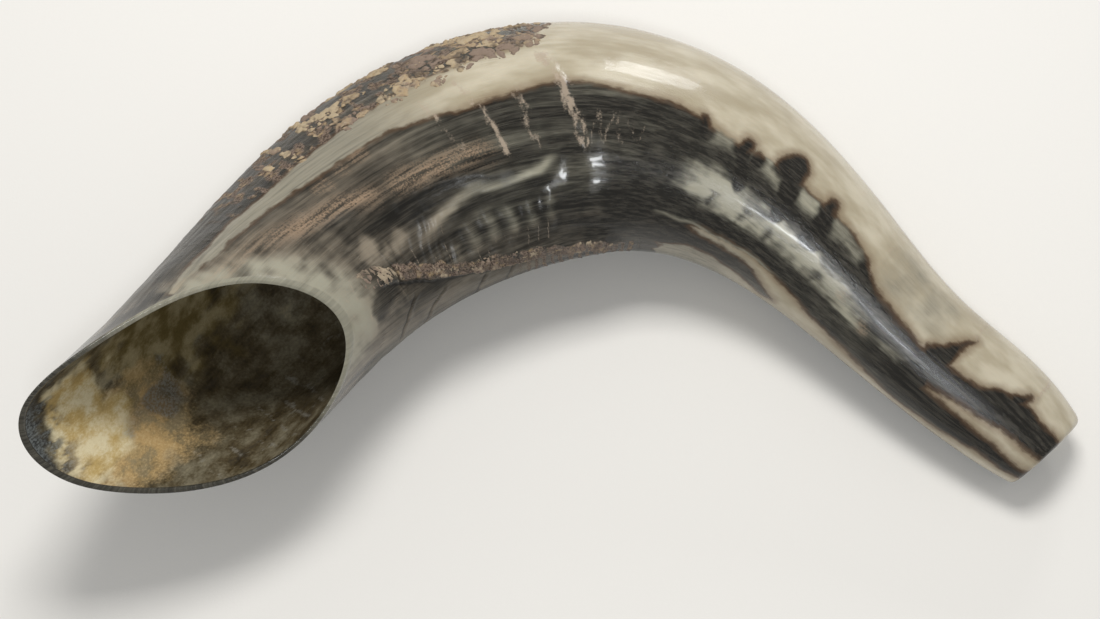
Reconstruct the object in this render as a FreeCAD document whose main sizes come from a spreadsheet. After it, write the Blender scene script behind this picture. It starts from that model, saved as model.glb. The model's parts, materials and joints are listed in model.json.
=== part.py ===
# A ram's-horn shofar, about 31 cm from bell to mouthpiece, lying on its side.
#
# The horn is one animal horn, so it is divided where the horn itself is divided: the ground
# mouthpiece, the solid tip with its drilled bore, the hollow growth segments between the yearly
# rings, the throat, the bell, its polished rim, and the patches of outer bark that were left on.
#
# Frame: millimetres, +Z up, +X towards the mouthpiece, the arch of the horn towards +Y.  The
# origin is the middle of the bounding box, on the surface that the horn rests on.
import FreeCAD, Part
import math
import os
import Sketcher

Vector = FreeCAD.Vector

# Overall sizes.  girth multiplies every half width of the horn's sections.
OVERALL = {
    "horn_length": 376.0,
    "girth": 1.0,
    "keel_fullness": 0.90,
    "back_fullness": 1.0,
}

# The yearly rings, from the mouthpiece to the uncut flare: the share of the horn's length, the
# heading and rise of the centre line in degrees, the half widths in millimetres towards the
# keel (outside of the bend), the back (inside), the face (up) and the belly (down), and the wall.
STATIONS = [
    ("mouth", 0.000, 132.5, 6.0, 15.0, 14.0, 10.5, 10.5, 6.0),
    ("collar", 0.050, 139.0, 6.0, 18.5, 18.0, 12.5, 12.5, 8.0),
    ("neck", 0.125, 137.5, 6.0, 18.5, 20.5, 14.0, 14.0, 9.0),
    ("waist", 0.260, 134.5, 5.5, 25.0, 25.5, 20.0, 20.0, 12.5),
    ("rise", 0.380, 159.0, 5.0, 34.0, 33.0, 24.5, 24.5, 9.0),
    ("crown", 0.460, 180.0, 2.5, 38.0, 38.0, 27.0, 27.0, 7.0),
    ("shoulder", 0.570, 204.0, 0.0, 38.0, 40.0, 28.5, 28.5, 5.5),
    ("fold", 0.660, 219.5, 7.0, 35.5, 39.0, 28.0, 29.0, 4.5),
    ("throat", 0.780, 238.0, 18.0, 31.0, 37.0, 32.0, 34.0, 3.6),
    ("bell", 0.890, 241.0, 29.0, 31.0, 37.0, 34.0, 25.0, 3.0),
    ("flare", 1.000, 242.0, 45.0, 35.0, 38.0, 32.0, 30.0, 3.0),
]
STATION_SIZES = ("share", "heading", "rise", "keel", "back", "face", "belly", "wall")

# The mouthpiece: a cup ground into the tip, and a straight bore drilled into the hollow.
MOUTHPIECE = {
    "cup_radius": 8.0,
    "cup_depth": 8.0,
    "cup_lead": 1.5,
    "bore_radius": 4.0,
    "bore_overrun": 8.0,
}

# The opening of the bell, one oblique flat cut.
OPENING = {
    "cut_heading": 300.0,
    "cut_lift": 50.0,
    "cut_advance": 4.0,
    "rim_depth": 4.0,
}

# The horn's pieces from the mouthpiece to the bell, each with the ring where it ends.
PIECES = [
    ("mouthpiece", "collar"),
    ("drilled_neck", "waist"),
    ("growth_segment_1", "rise"),
    ("growth_segment_2", "crown"),
    ("growth_segment_3", "shoulder"),
    ("growth_segment_4", "fold"),
    ("throat_segment", "throat"),
]

# The outer bark left on the horn.  Each patch: where it starts and ends as a share of the
# horn's length, and the two angles that it covers, from the back (0) over the face (90) to the
# keel (180).
BARK = {
    "bark_height": 1.2,
}
BARK_PATCHES = [
    ("bark_on_keel", 0.500, 0.715, 132.0, 208.0),
    ("bark_on_face", 0.520, 0.700, 84.0, 108.0),
    ("bark_on_back_ridge", 0.455, 0.690, 8.0, 38.0),
]
PATCH_SIZES = ("start", "end", "from_angle", "to_angle")

# How the horn lies: small turns about X and Y that bring its three low points to the surface.
REST = {
    "rest_roll": 0.7,
    "rest_pitch": -0.3,
}

# A closed cubic curve through eight poles reaches this part of its poles' distance.
DIAGONAL = math.cos(math.pi / 4)
POLE_REACH = 6.0 / (4.0 + 2.0 * DIAGONAL)
POLE_COUNT = 8

# A bark patch's wedge reaches this many times the crown's half width, in this many steps.
WEDGE_REACH = 1.5
PATCH_STEPS = 4


def fill_sheet(sheet, values):
    """Write plain numbers into the sheet, one row and one alias each."""
    row = 1
    while sheet.getContents("A%d" % row):
        row += 1
    for alias, value in values.items():
        sheet.set("A%d" % row, alias)
        sheet.set("B%d" % row, "%.6g" % value)
        sheet.setAlias("B%d" % row, alias)
        row += 1


def station_values():
    """The station table as named values, such as crown_keel."""
    values = {}
    for name, *numbers in STATIONS:
        for size, number in zip(STATION_SIZES, numbers):
            values[name + "_" + size] = number
    return values


def patch_values():
    """The bark patches as named values, such as bark_on_keel_start."""
    values = {}
    for name, *numbers in BARK_PATCHES:
        for size, number in zip(PATCH_SIZES, numbers):
            values[name + "_" + size] = number
    return values


def direction(heading, rise):
    """The unit vector with this heading in plan and this rise above level, in degrees."""
    turn = math.radians(heading)
    lift = math.radians(rise)
    return Vector(math.cos(lift) * math.cos(turn), math.cos(lift) * math.sin(turn), math.sin(lift))


def work_out_spine(sizes):
    """The centre line's points: each span follows the mean direction of its two stations."""
    point = Vector(0, 0, 0)
    points = {}
    last = None
    for name, *_ in STATIONS:
        share = sizes.get(name + "_share")
        heading = sizes.get(name + "_heading")
        forward = direction(heading, sizes.get(name + "_rise"))
        if last is not None:
            mean = forward + last[1]
            mean.normalize()
            point = point + mean * (sizes.get("horn_length") * (share - last[0]))
        for axis, number in zip("xyz", point):
            points[name + "_" + axis] = number
        last = (share, forward)
    return points


def spine_at(sizes, spine, share):
    """Centre point, heading and rise at any share of the length, between two stations."""
    for (low, *_), (high, *_) in zip(STATIONS, STATIONS[1:]):
        start = sizes.get(low + "_share")
        end = sizes.get(high + "_share")
        if share <= end:
            break
    mix = (share - start) / (end - start)
    between = []
    for size in ("heading", "rise"):
        first = sizes.get(low + "_" + size)
        between.append(first + mix * (sizes.get(high + "_" + size) - first))
    points = [Vector(*(spine.get(name + "_" + axis) for axis in "xyz")) for name in (low, high)]
    return points[0] + (points[1] - points[0]) * mix, between[0], between[1]


def ring_rotation(heading, rise):
    """Axes of a ring: X to the back, Y to the face, Z along the horn towards the bell."""
    return FreeCAD.Rotation(heading + 90.0, 0.0, 90.0 - rise)


def origin_plane(body):
    """The body's own XY plane."""
    for feature in body.Origin.OriginFeatures:
        if feature.Role == "XY_Plane":
            return feature
    raise RuntimeError("no XY plane in " + body.Name)


def new_sketch(body, name):
    sketch = body.newObject("Sketcher::SketchObject", name)
    sketch.AttachmentSupport = [(origin_plane(body), "")]
    sketch.MapMode = "FlatFace"
    return sketch


def place_pole(sketch, circle, axis_name, share, size):
    """Tie one coordinate of a pole's centre to a size, or hold it on the other axis."""
    if abs(share) < 1e-9:
        other_axis = -2 if axis_name == "DistanceX" else -1
        sketch.addConstraint(Sketcher.Constraint("PointOnObject", circle, 3, other_axis))
        return
    if share > 0:
        ends = (-1, 1, circle, 3)
    else:
        ends = (circle, 3, -1, 1)
    number = sketch.addConstraint(Sketcher.Constraint(axis_name, *ends, 10.0))
    sketch.setExpression("Constraints[%d]" % number, "%.6f * %s" % (abs(share), size))


def ring_sketch(body, name, station, grow):
    """A closed curve through eight poles, at a station; grow is added to its half widths."""
    sketch = new_sketch(body, name)
    sketch.setExpression(
        "AttachmentOffset",
        "placement(vector(spine.{0}_x; spine.{0}_y; spine.{0}_z);"
        " rotation(sizes.{0}_heading + 90; 0; 90 - sizes.{0}_rise))".format(station),
    )
    half = "(sizes.girth * sizes.%s_{} %s)" % (station, grow)
    angles = [math.tau * k / POLE_COUNT for k in range(POLE_COUNT)]
    start = [Vector(20 * math.cos(a), 20 * math.sin(a), 0) for a in angles]
    curve = sketch.addGeometry(Part.BSplineCurve(start, None, None, True, 3, None, False), False)
    sketch.exposeInternalGeometry(curve)
    for number, angle in enumerate(angles):
        across = math.cos(angle)
        up = math.sin(angle)
        fullness = ""
        if number % 2:
            fullness = "sizes.back_fullness * " if across > 0 else "sizes.keel_fullness * "
        circle = curve + 1 + number
        side = "back" if across > 0 else "keel"
        top = "face" if up > 0 else "belly"
        place_pole(sketch, circle, "DistanceX", POLE_REACH * across, fullness + half.format(side))
        place_pole(sketch, circle, "DistanceY", POLE_REACH * up, fullness + half.format(top))
    return sketch


def ring_loft(doc, name, stations, grow):
    """A smooth solid through the rings of the stations."""
    body = doc.addObject("PartDesign::Body", name)
    rings = []
    for station in stations:
        rings.append(ring_sketch(body, name + "_" + station, station, grow.format(station)))
    loft = body.newObject("PartDesign::AdditiveLoft", name + "_loft")
    loft.Profile = rings[0]
    loft.Sections = rings[1:]
    loft.Ruled = False
    loft.Closed = False
    return body


def block(doc, name, base, rotation, height="2 * sizes.horn_length"):
    """A box wider than the horn, from a plane onwards along the plane's own Z axis."""
    box = doc.addObject("Part::Box", name)
    box.setExpression("Length", "2 * sizes.horn_length")
    box.setExpression("Width", "2 * sizes.horn_length")
    box.setExpression("Height", height)
    doc.recompute()
    corner = Vector(-box.Length.Value / 2, -box.Width.Value / 2, 0)
    box.Placement = FreeCAD.Placement(base + rotation.multVec(corner), rotation)
    return box


def boolean(doc, kind, name, base, tool):
    result = doc.addObject("Part::" + kind, name)
    result.Base = base
    result.Tool = tool
    return result


def spine_point(spine, station):
    return Vector(*(spine.get(station + "_" + axis) for axis in "xyz"))


def beyond_ring(doc, sizes, spine, station):
    """The block that holds everything on the bell's side of a station's ring."""
    rotation = ring_rotation(sizes.get(station + "_heading"), sizes.get(station + "_rise"))
    return block(doc, "beyond_" + station, spine_point(spine, station), rotation)


def mouthpiece_tools(doc, sizes, spine):
    """The cup and the straight bore, both on the line from the tip to the hollow's end."""
    start = spine_point(spine, "mouth")
    end = spine_point(spine, "waist")
    along = end - start
    turn = FreeCAD.Rotation(Vector(0, 0, 1), along)
    unit = Vector(along)
    unit.normalize()

    bore = doc.addObject("Part::Cylinder", "bore")
    bore.setExpression("Radius", "sizes.bore_radius")
    bore.Height = along.Length + 2 * sizes.get("bore_overrun")
    bore.Placement = FreeCAD.Placement(start - unit * sizes.get("bore_overrun"), turn)

    # The cone starts a little outside the end face, which isn't quite square to the bore.
    cup = doc.addObject("Part::Cone", "cup")
    slope = "(sizes.cup_radius - sizes.bore_radius) / sizes.cup_depth"
    cup.setExpression("Radius1", "sizes.cup_radius + sizes.cup_lead * " + slope)
    cup.setExpression("Radius2", "sizes.bore_radius")
    cup.setExpression("Height", "sizes.cup_depth + sizes.cup_lead")
    cup.Placement = FreeCAD.Placement(start - unit * sizes.get("cup_lead"), turn)
    return bore, cup


def wedge_sketch(body, name, place, reach, low_angle, high_angle):
    """A four-sided wedge from the centre line outwards, between two angles."""
    sketch = new_sketch(body, name)
    sketch.AttachmentOffset = place
    corners = [Vector(0, 0, 0)]
    for angle in (low_angle, (low_angle + high_angle) / 2, high_angle):
        turn = math.radians(angle)
        corners.append(Vector(reach * math.cos(turn), reach * math.sin(turn), 0))
    for number, corner in enumerate(corners):
        following = corners[(number + 1) % len(corners)]
        sketch.addGeometry(Part.LineSegment(corner, following), False)
    return sketch


def bark_patch(doc, sizes, spine, name, crust, blank):
    """A thin piece of bark: the crust between two shares and two angles, less the horn."""
    body = doc.addObject("PartDesign::Body", name + "_wedge")
    start = sizes.get(name + "_start")
    end = sizes.get(name + "_end")
    angles = (sizes.get(name + "_from_angle"), sizes.get(name + "_to_angle"))
    reach = WEDGE_REACH * sizes.get("girth") * sizes.get("crown_back")
    wedges = []
    for step in range(PATCH_STEPS):
        share = start + (end - start) * step / (PATCH_STEPS - 1)
        centre, heading, rise = spine_at(sizes, spine, share)
        place = FreeCAD.Placement(centre, ring_rotation(heading, rise))
        wedges.append(wedge_sketch(body, "%s_wedge_%d" % (name, step), place, reach, *angles))
    loft = body.newObject("PartDesign::AdditiveLoft", name + "_loft")
    loft.Profile = wedges[0]
    loft.Sections = wedges[1:]
    loft.Ruled = True
    piece = boolean(doc, "Common", name + "_piece", crust, body)
    return boolean(doc, "Cut", name, piece, blank)


def check_objects(doc):
    """Stop if any feature failed without raising."""
    for thing in doc.Objects:
        bad = [state for state in thing.State if state in ("Invalid", "Error")]
        if bad:
            raise RuntimeError("%s is %s" % (thing.Name, bad))


def check_shapes(parts):
    for part in parts:
        if part.Shape.isNull() or not part.Shape.isValid():
            raise RuntimeError("%s has no valid shape" % part.Label)


def seat(parts, sizes):
    """Turn the pieces to their rest and put the bottom centre of the whole at the origin."""
    turn = FreeCAD.Rotation(0.0, sizes.get("rest_pitch"), sizes.get("rest_roll"))
    box = FreeCAD.BoundBox()
    for part in parts:
        turned = part.Shape.copy()
        turned.Placement = FreeCAD.Placement(Vector(0, 0, 0), turn)
        box.add(turned.optimalBoundingBox(False))
    centre = Vector((box.XMin + box.XMax) / 2, (box.YMin + box.YMax) / 2, box.ZMin)
    for part in parts:
        part.Placement = FreeCAD.Placement(-centre, turn)


def main():
    os.makedirs("parts", exist_ok=True)
    doc = FreeCAD.newDocument("shofar")

    sizes = doc.addObject("Spreadsheet::Sheet", "sizes")
    fill_sheet(sizes, {**OVERALL, **station_values(), **MOUTHPIECE, **OPENING,
                       **BARK, **patch_values(), **REST})
    doc.recompute()
    spine = doc.addObject("Spreadsheet::Sheet", "spine")
    fill_sheet(spine, work_out_spine(sizes))
    doc.recompute()

    names = [row[0] for row in STATIONS]
    hollow_names = names[names.index("waist"):]
    blank = ring_loft(doc, "horn_blank", names, "")
    hollow = ring_loft(doc, "hollow", hollow_names, "- sizes.{}_wall")
    crust = ring_loft(doc, "crust", names, "+ sizes.bark_height")
    bore, cup = mouthpiece_tools(doc, sizes, spine)
    inside = doc.addObject("Part::MultiFuse", "inside")
    inside.Shapes = [hollow, bore, cup]
    shell = boolean(doc, "Cut", "shell", blank, inside)

    # Each piece is cut off at its last ring, and what is beyond that ring is left for the next.
    parts = []
    remaining = shell
    for name, last_ring in PIECES:
        beyond = beyond_ring(doc, sizes, spine, last_ring)
        parts.append(boolean(doc, "Cut", name, remaining, beyond))
        remaining = boolean(doc, "Common", "past_" + last_ring, remaining, beyond)

    # The bell's opening is one oblique plane; the rim is the polished band below it.
    cut_turn = ring_rotation(sizes.get("cut_heading"), sizes.get("cut_lift"))
    cut_normal = direction(sizes.get("cut_heading"), sizes.get("cut_lift"))
    cut_base = spine_point(spine, "bell") + cut_normal * sizes.get("cut_advance")
    rim_base = cut_base - cut_normal * sizes.get("rim_depth")
    above_bell = block(doc, "above_bell", rim_base, cut_turn)
    rim_slab = block(doc, "rim_slab", rim_base, cut_turn, "sizes.rim_depth")
    parts.append(boolean(doc, "Cut", "bell", remaining, above_bell))
    parts.append(boolean(doc, "Common", "bell_rim", remaining, rim_slab))

    for name, *_ in BARK_PATCHES:
        parts.append(bark_patch(doc, sizes, spine, name, crust, blank))

    doc.recompute()
    check_objects(doc)
    seat(parts, sizes)
    doc.recompute()
    check_objects(doc)
    check_shapes(parts)
    for part in parts:
        part.Shape.exportStep("parts/%s.step" % part.Label)


if __name__ == "__main__":
    main()
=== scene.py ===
"""A ram's-horn shofar lying on its side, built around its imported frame.

The horn is charted by two numbers: the share of its length from the mouthpiece (0) to the uncut
flare (1), and the angle round its section from the back (0, the inside of the bend) over the
face (90, up) to the keel (180) and the belly (270 or -90).  Relief, pigment and bark are laid out
in shares and degrees, and every piece is one stretch of the same charted surface.
"""

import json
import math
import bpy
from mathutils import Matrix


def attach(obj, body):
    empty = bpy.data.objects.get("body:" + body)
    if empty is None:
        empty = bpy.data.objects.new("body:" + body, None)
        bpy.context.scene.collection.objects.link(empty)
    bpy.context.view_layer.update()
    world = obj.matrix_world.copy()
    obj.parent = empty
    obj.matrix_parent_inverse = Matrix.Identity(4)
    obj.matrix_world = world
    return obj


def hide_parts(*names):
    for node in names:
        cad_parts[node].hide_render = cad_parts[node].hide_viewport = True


bl_info = {
    "name": "Ram's Horn Shofar",
    "version": (1, 0, 0),
    "blender": (4, 5, 0),
    "location": "3D View > Sidebar > Shofar",
    "description": "A polished ram's-horn shofar with growth rings, pigment and bark",
    "category": "Add Mesh",
}

import bpy
import numpy as np
from mathutils import Vector

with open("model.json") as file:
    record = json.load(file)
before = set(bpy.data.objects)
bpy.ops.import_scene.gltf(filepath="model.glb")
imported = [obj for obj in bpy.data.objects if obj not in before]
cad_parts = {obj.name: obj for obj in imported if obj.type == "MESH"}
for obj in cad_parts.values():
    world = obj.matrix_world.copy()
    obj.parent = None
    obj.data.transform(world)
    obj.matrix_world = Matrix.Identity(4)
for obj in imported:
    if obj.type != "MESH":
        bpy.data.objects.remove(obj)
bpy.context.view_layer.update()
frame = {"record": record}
MM = 0.001

# The rings: share, heading and rise of the centre line in degrees, half widths in millimetres
# to the keel, back, face and belly, and the wall.
RINGS = (
    (0.000, 132.5, 6.0, 15.0, 14.0, 10.5, 10.5, 6.0),
    (0.050, 139.0, 6.0, 18.5, 18.0, 12.5, 12.5, 8.0),
    (0.125, 137.5, 6.0, 18.5, 20.5, 14.0, 14.0, 9.0),
    (0.260, 134.5, 5.5, 25.0, 25.5, 20.0, 20.0, 12.5),
    (0.380, 159.0, 5.0, 34.0, 33.0, 24.5, 24.5, 9.0),
    (0.460, 180.0, 2.5, 38.0, 38.0, 27.0, 27.0, 7.0),
    (0.570, 204.0, 0.0, 38.0, 40.0, 28.5, 28.5, 5.5),
    (0.660, 219.5, 7.0, 35.5, 39.0, 28.0, 29.0, 4.5),
    (0.780, 238.0, 18.0, 31.0, 37.0, 32.0, 34.0, 3.6),
    (0.890, 241.0, 29.0, 31.0, 37.0, 34.0, 25.0, 3.0),
    (1.000, 242.0, 45.0, 35.0, 38.0, 32.0, 30.0, 3.0),
)
COLLAR, WAIST, THROAT, BELL = 0.050, 0.260, 0.780, 0.890
HOLLOW_FIRST = 3
KEEL_FULLNESS = 0.90
POLES = 8
POLE_REACH = 6.0 / (4.0 + 2.0 * math.cos(math.pi / 4))

# The bell's opening, one oblique flat cut, and how the horn is turned to lie on its low points.
CUT_HEADING, CUT_LIFT, CUT_ADVANCE, RIM_DEPTH = 300.0, 50.0, 4.0, 4.0
REST_ROLL, REST_PITCH = 0.7, -0.3
# How thick the lip is in the plane of the cut, how far inwards it thins, and how far its outer edge
# is drawn in, in millimetres.
LIP_WALL, LIP_REACH, LIP_PULL = 1.7, 20.0, 0.75
# Whole rows stop at least this share short of the rim.
RING_MARGIN = 0.012
# How far the ground end's edges are rounded, in millimetres: its outside and its cup.
END_ROUND, CUP_ROUND = 2.0, 0.6
# The side of the lip that is pale, in degrees round the section.
PALE_SIDE = 62

# The pieces of the horn, each with the share where it ends.
PIECES = (
    ("mouthpiece", 0.050, "tip_horn"),
    ("drilled_neck", 0.260, "tip_horn"),
    ("growth_segment_1", 0.380, "polished_horn"),
    ("growth_segment_2", 0.460, "polished_horn"),
    ("growth_segment_3", 0.570, "polished_horn"),
    ("growth_segment_4", 0.660, "polished_horn"),
    ("throat_segment", 0.780, "polished_horn"),
)

# The chart's columns start under the belly.  A ray from the centre line at this angle is spread
# towards the back and the keel, because the section is wider than it is high.
SEAM = -90.0
SPREAD = 1.3


# ---------------------------------------------------------------- sizes and colours


class ShofarSizes(bpy.types.PropertyGroup):
    """Sizes of the shofar that can be set."""

    horn_length: bpy.props.FloatProperty(
        name="Horn length", description="Length of the centre line from mouthpiece to uncut flare",
        default=0.376, min=0.2, max=0.6, subtype="DISTANCE", unit="LENGTH")
    bore_radius: bpy.props.FloatProperty(
        name="Bore radius", description="Radius of the bore drilled through the tip",
        default=0.004, min=0.002, max=0.006, subtype="DISTANCE", unit="LENGTH")
    cup_radius: bpy.props.FloatProperty(
        name="Cup radius", description="Radius of the cup at the mouthpiece's end face",
        default=0.008, min=0.005, max=0.012, subtype="DISTANCE", unit="LENGTH")
    cup_depth: bpy.props.FloatProperty(
        name="Cup depth", description="Depth of the cup down to the bore",
        default=0.008, min=0.003, max=0.015, subtype="DISTANCE", unit="LENGTH")
    mesh_step: bpy.props.FloatProperty(
        name="Mesh step", description="Distance between the rows of the outer surface",
        default=0.0005, min=0.0003, max=0.004, subtype="DISTANCE", unit="LENGTH")
    columns: bpy.props.IntProperty(
        name="Columns", description="Number of faces round the horn", default=448, min=64, max=640)
    relief: bpy.props.FloatProperty(
        name="Relief", description="How strong the ridges, creases and rings are",
        default=1.0, min=0.0, max=2.0, subtype="FACTOR")
    bark_height: bpy.props.FloatProperty(
        name="Bark height", description="How far the outer bark stands above the horn",
        default=0.0008, min=0.0003, max=0.003, subtype="DISTANCE", unit="LENGTH")


def colour_setting(name, description, value):
    """A colour that a user would change."""
    return bpy.props.FloatVectorProperty(
        name=name, description=description, default=value, size=4, min=0.0, max=1.0,
        subtype="COLOR")


class ShofarColours(bpy.types.PropertyGroup):
    """Colours of the horn's layers."""

    black: colour_setting("Black horn", "Darkest pigment", (0.006, 0.005, 0.003, 1))
    slate: colour_setting("Slate horn", "Dark pigment where it is thin", (0.040, 0.036, 0.028, 1))
    milk: colour_setting("Milky horn", "Grey horn that lets light in", (0.33, 0.315, 0.245, 1))
    cream: colour_setting("Cream horn", "Clear horn on the keel", (0.37, 0.32, 0.225, 1))
    ivory: colour_setting("Ivory horn", "Palest clear horn", (0.53, 0.48, 0.37, 1))
    ash: colour_setting("Ash horn", "Clear horn gone grey near the bell", (0.27, 0.25, 0.195, 1))
    fringe: colour_setting("Brown fringe", "Rim of brown round dark pigment", (0.085, 0.048, 0.024, 1))
    tan: colour_setting("Tan horn", "Rough tan streaks", (0.31, 0.22, 0.145, 1))
    rose: colour_setting("Rose horn", "Pink-brown crust", (0.235, 0.175, 0.135, 1))
    umber: colour_setting("Umber crust", "Dark brown crust and cracks", (0.035, 0.020, 0.012, 1))
    gold: colour_setting("Golden bark", "Worn tops of the bark", (0.47, 0.345, 0.19, 1))
    floor: colour_setting("Floor", "The pale floor", (0.80, 0.785, 0.755, 1))


# ---------------------------------------------------------------- curves and noise


def spline(knots, values, at):
    """A smooth curve through values at the knots (not-a-knot ends), read at any shares."""
    knots = np.asarray(knots, float)
    values = np.asarray(values, float)
    count = len(knots)
    step = np.diff(knots)
    matrix = np.zeros((count, count))
    right = np.zeros(values.shape)
    slope = np.diff(values, axis=0) / step.reshape((-1,) + (1,) * (values.ndim - 1))
    for row in range(1, count - 1):
        matrix[row, row - 1] = step[row - 1]
        matrix[row, row] = 2 * (step[row - 1] + step[row])
        matrix[row, row + 1] = step[row]
        right[row] = 6 * (slope[row] - slope[row - 1])
    matrix[0, :3] = (step[1], -step[0] - step[1], step[0])
    matrix[-1, -3:] = (step[-1], -step[-1] - step[-2], step[-2])
    bend = np.linalg.solve(matrix, right.reshape(count, -1)).reshape(values.shape)
    at = np.asarray(at, float)
    span = np.clip(np.searchsorted(knots, at) - 1, 0, count - 2)
    return knots, step, slope, bend, values, span, at


def spline_at(knots, values, at):
    """The curve's values at a list of shares."""
    knots, step, slope, bend, values, span, at = spline(knots, values, at)
    shape = at.shape + (1,) * (values.ndim - 1)
    part = (at - knots[span]).reshape(shape)
    width = step[span].reshape(shape)
    first = values[span]
    rise = slope[span] - width * (2 * bend[span] + bend[span + 1]) / 6
    return first + part * (rise + part * (bend[span] / 2
                           + part * (bend[span + 1] - bend[span]) / (6 * width)))


def spline_columns(knots, values, at):
    """Like spline_at, but values has a column for each column of at."""
    knots, step, slope, bend, values, span, at = spline(knots, values, at)
    column = np.broadcast_to(np.arange(at.shape[1]), at.shape)
    part = (at - knots[span])[..., None]
    width = step[span][..., None]
    low, high = bend[span, column], bend[span + 1, column]
    rise = slope[span, column] - width * (2 * low + high) / 6
    return values[span, column] + part * (rise + part * (low / 2 + part * (high - low) / (6 * width)))


def lattice(x, y, z, seed):
    """A repeatable number from 0 to 1 for whole coordinates."""
    mixed = (x * 374761393 + y * 668265263 + z * 1440662683 + seed * 1274126177) & 0xFFFFFFFF
    mixed = ((mixed ^ (mixed >> 13)) * 1274126177) & 0xFFFFFFFF
    return (mixed ^ (mixed >> 16)) / 4294967295.0


def noise(points, seed, octaves=3):
    """Smooth noise from about -1 to 1; each octave is twice as fine and half as strong."""
    total = 0.0
    strength = 1.0
    for octave in range(octaves):
        scaled = points * 2.0 ** octave
        cell = np.floor(scaled)
        part = scaled - cell
        part = part * part * (3 - 2 * part)
        cell = cell.astype(np.int64)
        layer = 0.0
        for dx in (0, 1):
            for dy in (0, 1):
                for dz in (0, 1):
                    weight = 1.0
                    for axis, far in enumerate((dx, dy, dz)):
                        weight = weight * (part[..., axis] if far else 1 - part[..., axis])
                    layer = layer + weight * lattice(
                        cell[..., 0] + dx, cell[..., 1] + dy, cell[..., 2] + dz, seed + octave)
        total = total + strength * (2 * layer - 1)
        strength *= 0.5
    return total


def cells(across, along, seed):
    """Distance to the nearest and second nearest of scattered points, and the nearest's number."""
    base_x, base_y = np.floor(across), np.floor(along)
    nearest = np.full(across.shape, 9.0)
    second = np.full(across.shape, 9.0)
    number = np.zeros(across.shape)
    zero = np.zeros(across.shape, np.int64)
    for dx in (-1, 0, 1):
        for dy in (-1, 0, 1):
            x = (base_x + dx).astype(np.int64)
            y = (base_y + dy).astype(np.int64)
            point_x = x + 0.5 + 0.8 * (lattice(x, y, zero, seed) - 0.5)
            point_y = y + 0.5 + 0.8 * (lattice(x, y, zero, seed + 7) - 0.5)
            away = np.hypot(across - point_x, along - point_y)
            closer = away < nearest
            second = np.where(closer, nearest, np.minimum(second, away))
            number = np.where(closer, lattice(x, y, zero, seed + 13), number)
            nearest = np.where(closer, away, nearest)
    return nearest, second, number


def ramp(value, low, high):
    """0 below low, 1 above high, smooth between; low may be above high."""
    part = np.clip((value - low) / (high - low), 0.0, 1.0)
    return part * part * (3 - 2 * part)


def hump(value, width):
    """1 at 0, falling off smoothly over a width."""
    return np.exp(-np.square(value / width))


# ---------------------------------------------------------------- the charted surface


def direction(heading, rise):
    """The unit vector with a heading in plan and a rise above level, in degrees."""
    turn, lift = math.radians(heading), math.radians(rise)
    return np.array((math.cos(lift) * math.cos(turn), math.cos(lift) * math.sin(turn),
                     math.sin(lift)))


def ring_axes(heading, rise):
    """A ring's axes: to the back, to the face, and along the horn towards the bell."""
    forward = direction(heading, rise)
    turn = math.radians(heading)
    back = np.array((-math.sin(turn), math.cos(turn), 0.0))
    return back, np.cross(forward, back), forward


def rest_turn():
    """The small turn that lays the horn on its low points."""
    roll, pitch = math.radians(REST_ROLL), math.radians(REST_PITCH)
    about_x = np.array(((1, 0, 0), (0, math.cos(roll), -math.sin(roll)),
                        (0, math.sin(roll), math.cos(roll))))
    about_y = np.array(((math.cos(pitch), 0, math.sin(pitch)), (0, 1, 0),
                        (-math.sin(pitch), 0, math.cos(pitch))))
    return about_y @ about_x


def mount_place(name):
    """The place of one of the record's mounts, in millimetres."""
    for mount in frame["record"]["mounts"]:
        if mount["name"] == name:
            return np.array(mount["pos_m"]) / MM
    raise RuntimeError("the frame has no mount named " + name)


def section(keel, back, face, belly, angles):
    """The closed cubic curve through eight poles, read at chart angles; in the ring's plane."""
    turn = np.arange(POLES) * math.tau / POLES
    across, up = np.cos(turn), np.sin(turn)
    full = np.where((np.arange(POLES) % 2 == 1) & (across < 0), KEEL_FULLNESS, 1.0)
    poles = np.stack((across * np.where(across > 0, back, keel),
                      up * np.where(up > 0, face, belly)), axis=1)
    poles *= POLE_REACH * full[:, None]
    u = np.linspace(0, POLES, 1441)[:-1]
    first = np.floor(u).astype(int)
    t = (u - first)[:, None]
    weights = ((1 - t) ** 3, 3 * t ** 3 - 6 * t ** 2 + 4, -3 * t ** 3 + 3 * t ** 2 + 3 * t + 1, t ** 3)
    curve = sum(w * poles[(first - 1 + k) % POLES] for k, w in enumerate(weights)) / 6
    found = np.degrees(np.arctan2(SPREAD * curve[:, 1], curve[:, 0]))
    order = np.argsort(found)
    return np.stack([np.interp(angles, found[order], curve[order, axis], period=360)
                     for axis in (0, 1)], axis=1)


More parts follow.
